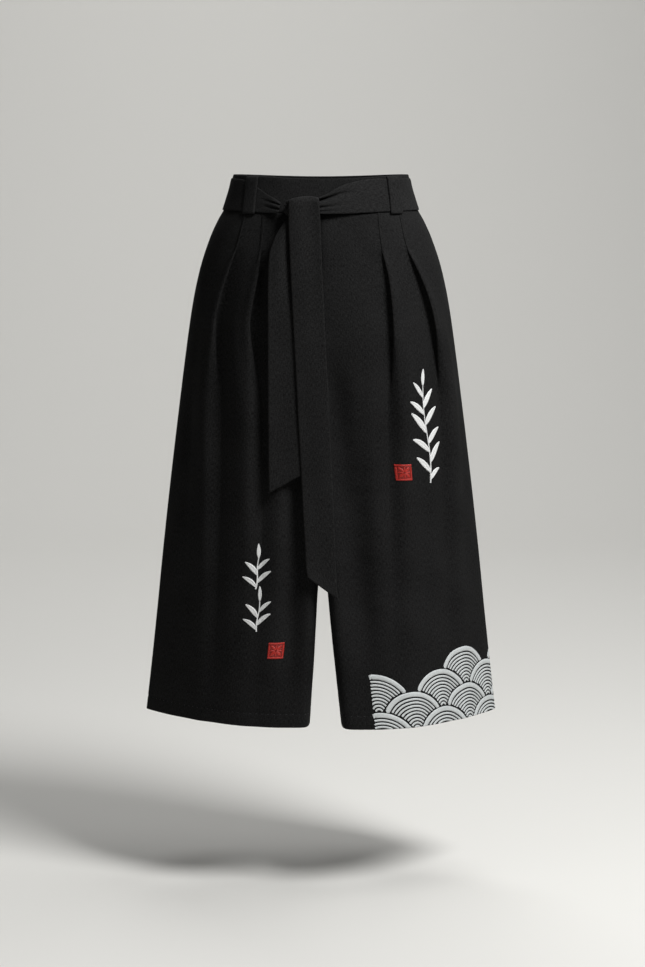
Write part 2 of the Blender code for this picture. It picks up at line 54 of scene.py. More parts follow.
SEAM_ROLL, SEAM_ROLL_WIDE = 0.0009, 0.0026
SEAM_STEPS = np.array([0.0, 0.0010, 0.0022, 0.0038, 0.0060])
SEAM_SIDE, SEAM_FREE = 0.009, 0.018
HEM_INSET = 0.0023
# A crease fades in and out over these shares of its length.
CREASE_START, CREASE_END = 0.25, 0.35
# The height where a panel's rows are level, and how far above it they follow the band in full.
ROWS_LEVEL, ROWS_CURVE = -0.110, 0.080
MOST_CROWDING = 1.8
HEM_MARK, HEM_MARK_WIDE = 0.0004, 0.0014
FORM_TOP, FORM_STEP, FORM_ROWS = 0.034, 0.001, 802
HEIGHTS = FORM_TOP - FORM_STEP * np.arange(FORM_ROWS)


def named(columns, *rows):
    """A table as a dictionary of columns, each an array with one value for each row."""
    return dict(zip(columns.split(), np.array(rows, dtype=float).T))


def rows_of(table):
    """The rows of a table, each as a dictionary."""
    return [dict(zip(table, row)) for row in zip(*table.values())]


# The garment's level outlines: half width at the side seam; the distance from the middle where the
# outline is fullest, on each front and on the backs; its depth there; how round it is towards the
# front or back and towards the side seam, where 1 is a corner; and each inseam's distance from the
# middle.
LEVELS = named(
    "z side full_right full_left full_back front_right front_left back round_face round_side"
    " inner_right inner_left",
    (0.0250, 0.1260, 0.000, 0.000, 0.000, 0.0935, 0.0935, 0.0955, 2.30, 2.30, 0.0000, 0.0000),
    (0.0000, 0.1322, 0.000, 0.000, 0.000, 0.0982, 0.0982, 0.1010, 2.30, 2.30, 0.0000, 0.0000),
    (-0.0250, 0.1402, 0.000, 0.000, 0.000, 0.1035, 0.1035, 0.1080, 2.30, 2.30, 0.0000, 0.0000),
    (-0.0410, 0.1490, 0.000, 0.000, 0.000, 0.1070, 0.1070, 0.1130, 2.30, 2.28, 0.0000, 0.0000),
    (-0.0650, 0.1600, 0.001, 0.001, 0.003, 0.1110, 0.1110, 0.1200, 2.30, 2.25, 0.0000, 0.0000),
    (-0.1100, 0.1750, 0.004, 0.004, 0.010, 0.1155, 0.1155, 0.1300, 2.28, 2.15, 0.0000, 0.0000),
    (-0.1600, 0.1860, 0.009, 0.009, 0.022, 0.1185, 0.1187, 0.1365, 2.25, 2.00, 0.0000, 0.0000),
    (-0.2300, 0.1965, 0.015, 0.016, 0.038, 0.1208, 0.1210, 0.1370, 2.20, 1.80, 0.0000, 0.0000),
    (-0.2900, 0.2045, 0.021, 0.023, 0.050, 0.1220, 0.1222, 0.1330, 2.15, 1.66, 0.0005, 0.0005),
    (-0.3600, 0.2135, 0.027, 0.031, 0.062, 0.1235, 0.1240, 0.1290, 2.10, 1.52, 0.0012, 0.0014),
    (-0.4600, 0.2258, 0.034, 0.043, 0.074, 0.1262, 0.1275, 0.1255, 2.00, 1.36, 0.0020, 0.0030),
    (-0.5400, 0.2348, 0.040, 0.053, 0.082, 0.1292, 0.1320, 0.1245, 1.94, 1.25, 0.0030, 0.0070),
    (-0.6050, 0.2415, 0.045, 0.061, 0.088, 0.1322, 0.1378, 0.1245, 1.90, 1.18, 0.0060, 0.0125),
    (-0.6900, 0.2508, 0.050, 0.071, 0.095, 0.1362, 0.1458, 0.1250, 1.84, 1.10, 0.0110, 0.0215),
    (-0.7620, 0.2592, 0.055, 0.080, 0.100, 0.1395, 0.1530, 0.1260, 1.80, 1.05, 0.0155, 0.0290),
)
# How square each leg turns from its face to its inner side, and the heights between which that turn
# sharpens towards the hem.
INNER_CORNER = {FRONT: 9.0, BACK: 3.0}
SHARPER_FROM, SHARPER_BY = -0.56, -0.74
SOFT_PASSES, SHARP_PASSES = 30, 5


def smooth(at, values, where):
    """Reads a column with a curve through its rows that never overshoots them."""
    order = np.argsort(at)
    x, y = at[order], values[order]
    step = np.diff(x)
    slope = np.diff(y) / step
    tangent = np.concatenate([slope[:1], np.zeros(len(x) - 2), slope[-1:]])
    same_way = slope[:-1] * slope[1:] > 0
    inner = np.zeros(len(x) - 2)
    inner[same_way] = 2 / (1 / slope[:-1][same_way] + 1 / slope[1:][same_way])
    tangent[1:-1] = inner
    where = np.clip(where, x[0], x[-1])
    i = np.clip(np.searchsorted(x, where) - 1, 0, len(step) - 1)
    t = (where - x[i]) / step[i]
    start = y[i] * (1 + 2 * t) * (1 - t) ** 2 + y[i + 1] * t**2 * (3 - 2 * t)
    return start + step[i] * (tangent[i] * t * (1 - t) ** 2 - tangent[i + 1] * t**2 * (1 - t))


def run_of(points):
    """The way along a polyline to each of its points."""
    return np.concatenate([[0], np.cumsum(np.linalg.norm(np.diff(points, axis=0), axis=1))])


def evenly(points):
    """The same polyline with points an equal way apart."""
    run = run_of(points)
    at = np.linspace(0, run[-1], OUTLINE_POINTS)
    return np.column_stack([np.interp(at, run, points[:, k]) for k in range(2)])


def ease(t):
    t = np.clip(t, 0, 1)
    return t * t * (3 - 2 * t)


def softened(points, passes):
    """Rounds the bends of a polyline and keeps its two ends."""
    points = evenly(points)
    for _ in range(passes):
        points[1:-1] = (points[:-2] + 2 * points[1:-1] + points[2:]) / 4
    return points


def crotch_share(z):
    """0 above the crotch curve, 1 below it, along a quarter of an ellipse between."""
    t = np.clip((CROTCH_TOP - z) / (CROTCH_TOP - CROTCH_Z), 0, 1)
    return 1 - np.sqrt(1 - t * t)


def quarter_turn(round_across, round_deep):
    """Across and deep shares of a quarter turn, from its side to its full depth."""
    angle = np.linspace(0, math.pi / 2, OUTLINE_POINTS)
    return np.cos(angle) ** (2 / round_across), np.sin(angle) ** (2 / round_deep)


def level_outline(side, face, z):
    """A quarter of the garment's outline at a height, from the side seam to the middle or the inseam."""
    name = SIDE_NAMES[side]
    full, depth = (f"full_{name}", f"front_{name}") if face == FRONT else ("full_back", "back")
    half, full, depth, inner, round_face, round_side = (
        float(smooth(LEVELS["z"], LEVELS[column], z))
        for column in ("side", full, depth, f"inner_{name}", "round_face", "round_side")
    )
    across, deep = quarter_turn(round_face, round_side)
    points = np.column_stack([full + (half - full) * across, depth * deep])
    if full - inner > 1e-7:
        across, deep = quarter_turn(INNER_CORNER[face], INNER_CORNER[face])
        share = float(crotch_share(z))
        seam = np.array([inner, depth * (1 - share)])
        leg = np.column_stack([full - (full - inner) * across, depth * deep])[::-1]
        leg = leg[leg[:, 1] >= seam[1] - 1e-9]
        span = np.linspace(leg[-1], seam, 30)[1:] if share < 1 else leg[:0]
        turn = np.concatenate([leg, span])
        sharp = ease((SHARPER_FROM - z) / (SHARPER_FROM - SHARPER_BY))
        turn = softened(turn, SOFT_PASSES) * (1 - sharp) + softened(turn, SHARP_PASSES) * sharp
        points = np.concatenate([points, turn[1:]])
    return evenly(points) * (side, face)


def form_of(side, face):
    """A quarter of the garment as outlines 1 mm apart: points, outward directions and lengths."""
    points = np.array([level_outline(side, face, z) for z in HEIGHTS])
    tangent = np.gradient(points, axis=1)
    outward = np.stack([tangent[..., 1], -tangent[..., 0]], axis=-1) * side * face
    outward[:, 0] = side, 0
    outward[HEIGHTS >= CROTCH_TOP, -1] = 0, face
    outward[HEIGHTS <= CROTCH_Z, -1] = -side, 0
    outward /= np.linalg.norm(outward, axis=2, keepdims=True)
    lengths = np.linalg.norm(np.diff(points, axis=1), axis=2).sum(axis=1)
    return points, outward, lengths


FORM = {(side, face): form_of(side, face) for side in (RIGHT, LEFT) for face in (FRONT, BACK)}


def length(side, face, z):
    return np.interp(-np.asarray(z), -HEIGHTS, FORM[side, face][2])


def on_form(side, face, way, z, off=0.0):
    """Points a way along the level outline from the side seam at a height, moved out by off."""
    way, z, off = np.broadcast_arrays(np.asarray(way, float), np.asarray(z, float), np.asarray(off, float))
    points, outward, lengths = FORM[side, face]
    row = np.clip((FORM_TOP - z) / FORM_STEP, 0, FORM_ROWS - 1.001)
    k = row.astype(int)
    down = (row - k)[..., None]
    total = np.interp(row, np.arange(FORM_ROWS), lengths)
    along = np.clip(way / total, 0, 1) * (OUTLINE_POINTS - 1)
    i = np.minimum(along.astype(int), OUTLINE_POINTS - 2)
    on = (along - i)[..., None]

    def read(table):
        upper = table[k, i] * (1 - on) + table[k, i + 1] * on
        lower = table[k + 1, i] * (1 - on) + table[k + 1, i + 1] * on
        return upper * (1 - down) + lower * down

    out = read(outward)
    out /= np.linalg.norm(out, axis=-1, keepdims=True)
    return np.concatenate([read(points) + out * off[..., None], z[..., None]], axis=-1)


def ways_to(side, face, x):
    """How far along each level outline the front or back is a distance x from the middle."""
    points, _, lengths = FORM[side, face]
    found = []
    for k, distance in enumerate(np.broadcast_to(x, HEIGHTS.shape)):
        last = int(np.argmax(np.abs(points[k, :, 1]))) + 1
        run = np.linspace(0, lengths[k], OUTLINE_POINTS)[:last]
        found.append(np.interp(-distance, -np.abs(points[k, :last, 0]), run))
    return np.array(found)


def at_height(column, z):
    return np.interp(-np.asarray(z), -HEIGHTS, column)


def bump(way, centre, wide):
    return np.exp(-(((way - centre) / wide) ** 2))


def crease_lines(side, face, table):
    """Each crease of a table as the way to its middle at every height, its fading, width and height."""
    lines = []
    for crease in rows_of(table):
        down = (crease["z_top"] - HEIGHTS) / (crease["z_top"] - crease["z_end"])
        x = crease["x_top"] + (crease["x_end"] - crease["x_top"]) * np.clip(down, 0, 1)
        fade = ease(down / CREASE_START) * ease((1 - down) / CREASE_END)
        lines.append((ways_to(side, face, x), fade, crease["wide"], crease["height"]))
    return lines


def creased(lines, way, z):
    """How far a panel's creases move it out, for arrays of ways and heights."""
    total = 0.0
    for middle, fade, wide, height in lines:
        total = total + height * at_height(fade, z) * bump(way, at_height(middle, z), wide)
    return total


def rolled_seams(way, end):
    """Each seamed edge rolls in a little, where the allowances are pressed open behind it."""
    near = np.minimum(way, end - way)
    return -SEAM_ROLL * np.exp(-((near / SEAM_ROLL_WIDE) ** 2))


def seam_free(relief, way, end):
    """Relief fades out at a panel's two long edges, so neighbours meet there."""
    return relief * ease(np.minimum(way, end - way) / SEAM_FREE)


def handled(way, z, seed):
    """The slight unevenness of cloth that has been worn and hung, under half a millimetre."""
    first = np.sin(way * 61 + z * 17 + seed) * np.sin(z * 23 - way * 9 + 2.1 * seed)
    second = np.sin(way * 143 - z * 31 + 1.7 * seed) * np.sin(z * 47 + way * 21 + seed)
    return 0.00035 * first + 0.00018 * second


def hem_mark(z):
    """The edge of the turned-up hem presses through as a faint line."""
    return -HEM_MARK * np.exp(-(((z - HEM_Z - HEM_DEPTH) / HEM_MARK_WIDE) ** 2))


def band_edge(face, x, z, half):
    """Height of a line of the band that is level at the side seam and dips at the middle."""
    dip = FRONT_DIP if face == FRONT else BACK_DIP
    return z - dip * (1 - np.clip(np.abs(x) / half, 0, 1) ** 2) ** 1.5


def panel_rows():
    """Heights of a panel's rows from the band to the hem and up its turned-up edge, and their insets."""
    rows = [(z, 0.0) for z in np.arange(-BAND_HALF, HIGH_ROWS_END, -PANEL_ROW)]
    rows += [(z, 0.0) for z in np.linspace(HIGH_ROWS_END - 0.002, HEM_Z + HEM_DEPTH + 0.004, LOW_ROWS)]
    rows += [(HEM_Z + HEM_DEPTH + rise, 0.0) for rise in (0.002, 0.001, 0.0, -0.001, -0.002, -0.004)]
    rows += [(HEM_Z + rise, 0.0) for rise in (0.012, 0.008, 0.004, 0.002, 0.001)]
    fold = np.linspace(0, math.pi, 7)
    rows += [(HEM_Z + 0.0008 * (1 - math.sin(a)), HEM_INSET * (1 - math.cos(a)) / 2) for a in fold]
    rows += [(HEM_Z + rise, HEM_INSET) for rise in (0.002, 0.005, 0.010, 0.015, HEM_DEPTH)]
    return np.array(rows)


def inner_ways(side, face, z, start, count):
    """Ways from a start to a panel's inner edge, crowding there above the crotch."""
    run = float(length(side, face, z)) - start
    leg = float(length(side, face, CROTCH_Z)) - start
    crowding = min(max(leg / run, 1), MOST_CROWDING)
    shares = 1 - (1 - np.linspace(0, 1, count + 1)) ** crowding
    edge = 1 - SEAM_STEPS[::-1] / run
    return start + run * np.concatenate([shares[:-1] * (edge[0] - 0.002 / run), edge])


def corners(index):
    """The four corners of every cell of a grid of numbers."""
    return np.stack([index[:-1, :-1], index[:-1, 1:], index[1:, 1:], index[1:, :-1]], axis=-1).reshape(-1, 4)


def plain_mesh(name, points, quads, places, material, flip):
    """A smooth mesh from points, its faces, and the place of each face's corners on the cloth."""
    if flip:
        quads, places = quads[:, ::-1], places[:, ::-1]
    mesh = bpy.data.meshes.new(name)
    mesh.from_pydata(points.tolist(), [], quads.tolist())
    layer = mesh.uv_layers.new(name="cut")
    layer.data.foreach_set("uv", places.astype(np.float32).ravel())
    mesh.materials.append(material)
    mesh.shade_smooth()
    made = bpy.data.objects.new(name, mesh)
    bpy.context.scene.collection.objects.link(made)
    return made


def grid_mesh(name, points, cut, material, flip=False, ring=False, closed=False, caps=()):
    """A mesh over a grid of points. cut gives each point's place on the cloth, for the weave. A ring
    joins its last column to its first, and a closed grid its last row too; cut may hold those."""
    rows, columns = points.shape[:2]
    index = np.arange(rows * columns).reshape(rows, columns)
    if ring:
        index = np.concatenate([index, index[:, :1]], axis=1)
    if closed:
        index = np.concatenate([index, index[:1]])
    own = cut[:rows, :columns].reshape(-1, 2)
    quads = np.concatenate([corners(index), *caps])
    if cut.shape[:2] == index.shape:
        cells = corners(np.arange(index.size).reshape(index.shape))
        places = np.concatenate([cut.reshape(-1, 2)[cells], *(own[cap] for cap in caps)])
    else:
        places = own[quads]
    return plain_mesh(name, points.reshape(-1, 3), quads, places, material, flip)


def fitted(made, node):
    """Puts a piece in its node's place on the garment."""
    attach(made, "root")
    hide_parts(node)
    return made


def thin(made, thickness):
    """Gives a grid its cloth's thickness, on the inside."""
    solid = made.modifiers.new("thickness", "SOLIDIFY")
    solid.thickness = thickness
    solid.offset = -1
    return made


def linear(colour):
    """An sRGB hex colour as a linear one, with full alpha."""
    parts = [int(colour[k : k + 2], 16) / 255 for k in (0, 2, 4)]
    return *((c / 12.92 if c <= 0.04045 else ((c + 0.055) / 1.055) ** 2.4) for c in parts), 1.0


def add(tree, kind, inputs, **settings):
    """Adds a shader node with its settings, plain inputs and links."""
    made = tree.nodes.new("ShaderNode" + kind)
    for name, value in settings.items():
        setattr(made, name, value)
    for name, value in inputs.items():
        if isinstance(value, bpy.types.NodeSocket):
            tree.links.new(value, made.inputs[name])
        else:
            made.inputs[name].default_value = value
    return made


def blank(name, roughness, specular):
    """A new material with its shader's finish set, and that shader."""
    made = bpy.data.materials.new(name)
    made.use_nodes = True
    shader = made.node_tree.nodes["Principled BSDF"]
    shader.inputs["Roughness"].default_value = roughness
    shader.inputs["Specular IOR Level"].default_value = specular
    return made, shader


def two_tones(tree, share, dark, light, start, end):
    """A colour between a dark and a light one, by a share that runs from start to end."""
    ramp = add(tree, "ValToRGB", {"Fac": share})
    for element, at, colour in zip(ramp.color_ramp.elements, (start, end), (dark, light)):
        element.position = at
        element.color = linear(colour)
    return ramp.outputs[0]


# Yarns of such cloth are 0.5 mm apart. They are drawn 1.1 mm apart, so that they show.
YARN = 0.0011


def plain_weave(name, dark, light, roughness, sheen):
    """Piece-dyed plain weave: uneven yarns cross one over one, so the surface is evenly grained and
    nearly matt, with faint upright streaks. Loose fibre gives a soft glow at its edges."""
    made, shader = blank(name, roughness, 0.07)
    tree = made.node_tree
    place = add(tree, "UVMap", {}, uv_map="cut").outputs["UV"]
    upright = add(tree, "Mapping", {"Vector": place, "Scale": (1.0, 0.22, 1.0)}).outputs[0]
    level = add(tree, "Mapping", {"Vector": place, "Scale": (0.35, 1.0, 1.0)}).outputs[0]
    warp = add(tree, "TexNoise", {"Vector": upright, "Scale": 1 / YARN, "Detail": 1.0}).outputs["Fac"]
    weft = add(tree, "TexNoise", {"Vector": level, "Scale": 1 / YARN, "Detail": 1.0}).outputs["Fac"]
    cloud = add(tree, "TexNoise", {"Vector": place, "Scale": 14.0, "Detail": 2.0}).outputs["Fac"]
    grain = add(tree, "MixRGB", {"Fac": 0.45, "Color1": warp, "Color2": weft}).outputs[0]
    mixed = add(tree, "MixRGB", {"Fac": 0.15, "Color1": grain, "Color2": cloud}).outputs[0]
    colour = two_tones(tree, mixed, dark, light, 0.34, 0.66)
    relief = add(tree, "Bump", {"Height": grain, "Strength": 0.6, "Distance": 0.0006}).outputs[0]
    tree.links.new(colour, shader.inputs["Base Color"])
    tree.links.new(relief, shader.inputs["Normal"])
    shader.inputs["Sheen Weight"].default_value = sheen
    shader.inputs["Sheen Roughness"].default_value = 0.5
    return made


panel_cloth = plain_weave("black_plain_weave", "0a0a0a", "242424", 0.90, 0.002)

# The folds of the backs: where each runs, how wide it is and how far it stands out or in.
BACK_CREASES = named(
    "x_top z_top x_end z_end wide height",
    (0.1480, -0.120, 0.2050, -1.000, 0.022, 0.0042),
    (0.1020, -0.110, 0.1680, -1.000, 0.026, 0.0056),
    (0.0560, -0.150, 0.1340, -1.000, 0.024, 0.0036),
    (0.1260, -0.190, 0.1880, -0.950, 0.012, -0.0020),
    (0.0790, -0.230, 0.1500, -0.900, 0.011, -0.0024),
    (0.0300, -0.262, 0.0900, -0.340, 0.009, 0.0022),
    (0.0200, -0.292, 0.0800, -0.420, 0.010, -0.0020),
)
# The dart's line from the waist on, as if it ran to the hem, and the point where it ends.
DART_X, DART_X_HEM, DART_END = 0.0600, 0.1450, -0.135
DART_LAP, DART_FADE, DART_REACH = 0.0009, 0.05, 0.008
# The dart's section: the way from its seam towards the middle, and its share of the lap's height.
DART_SECTION = named(
    "beside high",
    (-0.0050, 0.30),
    (-0.0020, 0.75),
    (-0.0006, 1.00),
    (0.0002, 0.10),
    (0.0012, -0.30),
    (0.0040, 0.00),
)


def curved_rows(side, face, ways, offs, rows):
    """Places a panel's grid. Its upper rows follow the band's curved seam and level out below it."""
    z = np.repeat(rows[:, :1], ways.shape[1], axis=1)
    flat = on_form(side, face, ways, z)
    half = smooth(LEVELS["z"], LEVELS["side"], z)
    curved = np.clip((z - ROWS_LEVEL) / ROWS_CURVE, 0, 1)
    high = z + curved * (band_edge(face, flat[..., 0], z, half) - z)
    along = ways * length(side, face, high) / length(side, face, z)
    return on_form(side, face, along, high, offs - rows[:, 1:]), np.stack([ways, z - rows[:, 1:]], axis=-1)


BACK_LINES = {side: crease_lines(side, BACK, BACK_CREASES) for side in (RIGHT, LEFT)}


def back_relief(side, way, z):
    """How far a back stands off the plain outline, its dart aside."""
    end = length(side, BACK, z)
    soft = creased(BACK_LINES[side], way, z) + handled(way, z, side)
    return seam_free(soft, way, end) + rolled_seams(way, end) + hem_mark(z)


def back_panel(name, side):
    rows = panel_rows()
    down = np.clip(HEIGHTS / HEM_Z, 0, 1)
    dart_line = ways_to(side, BACK, DART_X * (1 - down) + DART_X_HEM * down)
    ways, lap = [], []
    for z in rows[:, 0]:
        dart = float(at_height(dart_line, z))
        outer = np.concatenate([SEAM_STEPS, np.linspace(SEAM_SIDE, dart - DART_REACH, 24)])
        fold = dart + DART_SECTION["beside"]
        inner = inner_ways(side, BACK, z, dart + DART_REACH, 36)
        ways.append(np.concatenate([outer, fold, inner]))
        raised = np.concatenate([0 * outer, DART_SECTION["high"], 0 * inner])
        lap.append(raised * DART_LAP * float(ease((z - DART_END) / DART_FADE)))
    ways, lap = np.array(ways), np.array(lap)
    z = np.repeat(rows[:, :1], ways.shape[1], axis=1)
    points, cut = curved_rows(side, BACK, ways, back_relief(side, ways, z) + lap, rows)
    made = thin(grid_mesh(f"cloth_{name}", points, cut, panel_cloth, flip=side * BACK == 1), PANEL_CLOTH)
    return fitted(made, name)


# A back is cut 0.42 m wide at the hem and 0.79 m long with the turn-up. It narrows to the waist.
for side, name in ((RIGHT, "back_right"), (LEFT, "back_left")):
    back_panel(name, side)


# Fronts. Each is one piece of the same cloth with two pleats, laid towards the middle. They are sewn
# down for 55 mm below the band and open from there, so the fold hangs over a dark hollow and
# rounds out to the side. Below the knee line only a soft ridge is left of each.
PLEATS = named(
    "z outer_right inner_right outer_left inner_left lap under hollow soft ridge ridge_at reach",
    (-0.0250, 0.1040, 0.0780, 0.1095, 0.0795, 0.0005, 0.4, 0.0000, 0.000, 0.0000, 0.010, 0.0100),
    (-0.0360, 0.1068, 0.0790, 0.1118, 0.0803, 0.0006, 0.4, 0.0000, 0.000, 0.0000, 0.010, 0.0105),
    (-0.0780, 0.1180, 0.0829, 0.1217, 0.0851, 0.0007, 0.5, 0.0000, 0.000, 0.0000, 0.010, 0.0120),
    (-0.0900, 0.1222, 0.0845, 0.1270, 0.0880, 0.0022, 0.9, 0.0018, 0.000, 0.0004, 0.010, 0.0140),
    (-0.1200, 0.1318, 0.0878, 0.1400, 0.0945, 0.0040, 1.0, 0.0048, 0.000, 0.0014, 0.011, 0.0190),
    (-0.1500, 0.1405, 0.0935, 0.1505, 0.0980, 0.0048, 1.0, 0.0064, 0.000, 0.0024, 0.013, 0.0210),
    (-0.1900, 0.1485, 0.0990, 0.1605, 0.1012, 0.0044, 0.9, 0.0072, 0.002, 0.0036, 0.016, 0.0230),
    (-0.2400, 0.1510, 0.0950, 0.1695, 0.1022, 0.0024, 0.5, 0.0082, 0.007, 0.0050, 0.019, 0.0250),
    (-0.2950, 0.1510, 0.0900, 0.1765, 0.1022, 0.0006, 0.0, 0.0088, 0.012, 0.0056, 0.019, 0.0260),
    (-0.3600, 0.1508, 0.0880, 0.1800, 0.1030, 0.0000, 0.0, 0.0082, 0.015, 0.0054, 0.019, 0.0265),
    (-0.4600, 0.1515, 0.0885, 0.1830, 0.1045, 0.0000, 0.0, 0.0064, 0.018, 0.0042, 0.019, 0.0270),
    (-0.6000, 0.1550, 0.0920, 0.1890, 0.1080, 0.0000, 0.0, 0.0028, 0.020, 0.0022, 0.020, 0.0275),
    (-0.7620, 0.1620, 0.0960, 0.1960, 0.1120, 0.0000, 0.0, 0.0012, 0.020, 0.0012, 0.020, 0.0280),
)
RIDGE_WIDE, PLEAT_SIDE = 0.016, 0.003
# A pleat reaches over this share of the way to the other one, at most.
PLEAT_SHARE = 0.45
# Beside the fold's edge the cloth drops into the hollow within a few millimetres, and from there it
# rises slowly towards the middle.
HOLLOW_FOOT, HOLLOW_RISE = 0.0045, 0.032
# The columns crowd where the leg turns from its face to its inner side.
LEAST_TURN, CORNER_REACH, CORNER_SHARE = 0.010, 0.018, 0.15
# A pleat's section round its fold edge: the place along the cloth where it lies open, where it lies
# folded (towards the middle is positive), and its share of the fold's height.
FOLD = named(
    "open folded high",
    (-0.0044, -0.0040, 0.985),
    (-0.0032, -0.0024, 1.00),
    (-0.0024, -0.0012, 0.98),
    (-0.0017, -0.0004, 0.90),
    (-0.0010, 0.0000, 0.74),
    (-0.0004, -0.0004, 0.56),
    (0.0002, -0.0014, 0.46),
    (0.0010, -0.0040, 0.38),
    (0.0018, -0.0068, 0.30),
    (0.0024, -0.0078, 0.17),
    (0.0030, -0.0068, 0.02),
    (0.0036, -0.0036, 0.00),
    (0.0043, -0.0008, 0.00),
    (0.0052, 0.0022, 0.00),
)
# Beside the fold the cloth rises to it from the side and falls from it towards the middle. Ways are
# shares of the pleat's reach.
FOLD_RISE = named("at high", (-1, 0), (-0.8, 0.06), (-0.62, 0.24), (-0.48, 0.5), (-0.36, 0.76), (-0.27, 0.93))
FOLD_FALL = np.array([0.45, 0.7, 1.0])
# The folds of the fronts: long soft hollows beside the inseams, and shallower ones across each leg.
FRONT_CREASES = {
    RIGHT: named(
        "x_top z_top x_end z_end wide height",
        (0.0140, -0.230, 0.0180, -0.775, 0.022, -0.0060),
        (0.0330, -0.300, 0.0430, -0.775, 0.016, -0.0072),
        (0.1850, -0.230, 0.2080, -0.640, 0.012, -0.0030),
        (0.0600, -0.280, 0.0640, -0.760, 0.015, 0.0024),
        (0.1300, -0.420, 0.1350, -0.760, 0.016, 0.0024),
    ),
    LEFT: named(
        "x_top z_top x_end z_end wide height",
        (0.0120, -0.170, 0.0310, -0.775, 0.027, -0.0135),
        (0.1200, -0.190, 0.1250, -0.420, 0.007, 0.0016),
        (0.1480, -0.300, 0.1600, -0.660, 0.013, -0.0030),
        (0.0640, -0.180, 0.0600, -0.560, 0.016, -0.0030),
        (0.0850, -0.400, 0.0900, -0.740, 0.015, 0.0024),
    ),
}


def pleat(column, z):
    return smooth(PLEATS["z"], PLEATS[column], z)


def pleat_lines(side):
    """The ways to the fold edges of a front's outer and inner pleat, at every height."""
    name = SIDE_NAMES[side]
    return [ways_to(side, FRONT, pleat(f"{which}_{name}", HEIGHTS)) for which in ("outer", "inner")]


PLEAT_LINES = {side: pleat_lines(side) for side in (RIGHT, LEFT)}
FRONT_LINES = {side: crease_lines(side, FRONT, FRONT_CREASES[side]) for side in (RIGHT, LEFT)}


def corner_ways(side, z, start):
    """Ways from a start to a front's inner edge, close together where the leg turns inward."""
    end = float(length(side, FRONT, z))
    depth = float(smooth(LEVELS["z"], LEVELS[f"front_{SIDE_NAMES[side]}"], z))
    corner = end - max(depth * float(crotch_share(z)), LEAST_TURN)
    before = np.linspace(start, corner - CORNER_REACH, 12)[:-1]
    turned = corner + (end - corner) * CORNER_SHARE
    round_it = np.linspace(corner - CORNER_REACH, turned, 14)[:-1]
    across = np.linspace(turned, end - SEAM_STEPS[-1], 9)[:-1]
    return np.concatenate([before, round_it, across, end - SEAM_STEPS[::-1]])


def front_relief(side, way, z):
    """How far a front stands off the plain outline, its sewn folds aside."""
    total = creased(FRONT_LINES[side], way, z) + handled(way, z, 3 + side)
    for line in PLEAT_LINES[side]:
        edge = at_height(line, z)
        total = total + pleat("ridge", z) * bump(way, edge - pleat("ridge_at", z), RIDGE_WIDE)
        soft, beside = pleat("soft", z), way - edge
        drop = ease((beside + soft) / (soft + HOLLOW_FOOT))
        rising = np.clip(1 - (beside - HOLLOW_FOOT) / HOLLOW_RISE, 0, 1) ** 1.4
        total = total - pleat("hollow", z) * drop * rising
    end = length(side, FRONT, z)
    return seam_free(total, way, end) + rolled_seams(way, end) + hem_mark(z)


def fold_columns(edge, z, reach):
    """Ways along the outline across one pleat, the ways it would have lying open, and its height."""
    under = float(pleat("under", z))
    middle = FOLD["open"] * (1 - under) + FOLD["folded"] * under
    before, after = edge + FOLD_RISE["at"] * reach, edge + FOLD_FALL * reach
    ways = np.concatenate([before, edge + middle, after])
    flat = np.concatenate([before, edge + FOLD["open"], after])
    high = np.concatenate([FOLD_RISE["high"], FOLD["high"], 0 * FOLD_FALL])
    return ways, flat, high * float(pleat("lap", z))


def front_panel(name, side):
    rows = panel_rows()
    ways, flats, laps = [], [], []
    for z in rows[:, 0]:
        edges = [float(at_height(line, z)) for line in PLEAT_LINES[side]]
        reach = min(float(pleat("reach", z)), PLEAT_SHARE * (edges[1] - edges[0]))
        outer = np.concatenate([SEAM_STEPS, np.linspace(SEAM_SIDE, edges[0] - reach - PLEAT_SIDE, 18)])
        between = np.linspace(edges[0] + reach, edges[1] - reach, 6)[1:-1]
        inner = corner_ways(side, z, edges[1] + reach + PLEAT_SIDE)
        folds = [fold_columns(edge, z, reach) for edge in edges]
        ways.append(np.concatenate([outer, folds[0][0], between, folds[1][0], inner]))
        flats.append(np.concatenate([outer, folds[0][1], between, folds[1][1], inner]))
        laps.append(np.concatenate([0 * outer, folds[0][2], 0 * between, folds[1][2], 0 * inner]))
    ways, flats, laps = np.array(ways), np.array(flats), np.array(laps)
    z = np.repeat(rows[:, :1], ways.shape[1], axis=1)
    offs = front_relief(side, flats, z) + laps
    points, cut = curved_rows(side, FRONT, ways, offs, rows)
    cut[..., 0] = flats
    made = thin(grid_mesh(f"cloth_{name}", points, cut, panel_cloth, flip=side * FRONT == 1), PANEL_CLOTH)
    return fitted(made, name)


# What shows of a front is as wide at the hem and as long as a back.
for side, name in ((RIGHT, "front_right"), (LEFT, "front_left")):
    front_panel(name, side)


# Embroidery. White rayon sprigs stand on both fronts with a small red square beside each, and a
# border of overlapping arcs runs along the left leg's hem. It is satin stitch, worked by machine:
# the threads lie side by side across each band, which stands a little proud of the cloth.
SATIN_RISE = 0.0007
# Half a band's section, from its middle out: plain, or with a vein along the middle.
PLAIN_HALF = named("at high", (0, 1), (0.4, 0.95), (0.85, 0.6), (1, -0.4))
VEINED_HALF = named("at high", (0, 0.3), (0.15, 0.8), (0.5, 1), (0.85, 0.6), (1, -0.4))
# Stitches are 0.4 mm apart. They are drawn 1 mm apart, so that they show.
STITCH = 0.0010
# Wave bands repeat every 0.3142 units at scale 1.
WAVE_PERIOD = math.pi / 10


def both_sides(half):
    """A whole section from its half."""
    at = np.concatenate([-half["at"][:0:-1], half["at"]])
    return {"at": at, "high": np.concatenate([half["high"][:0:-1], half["high"]])}


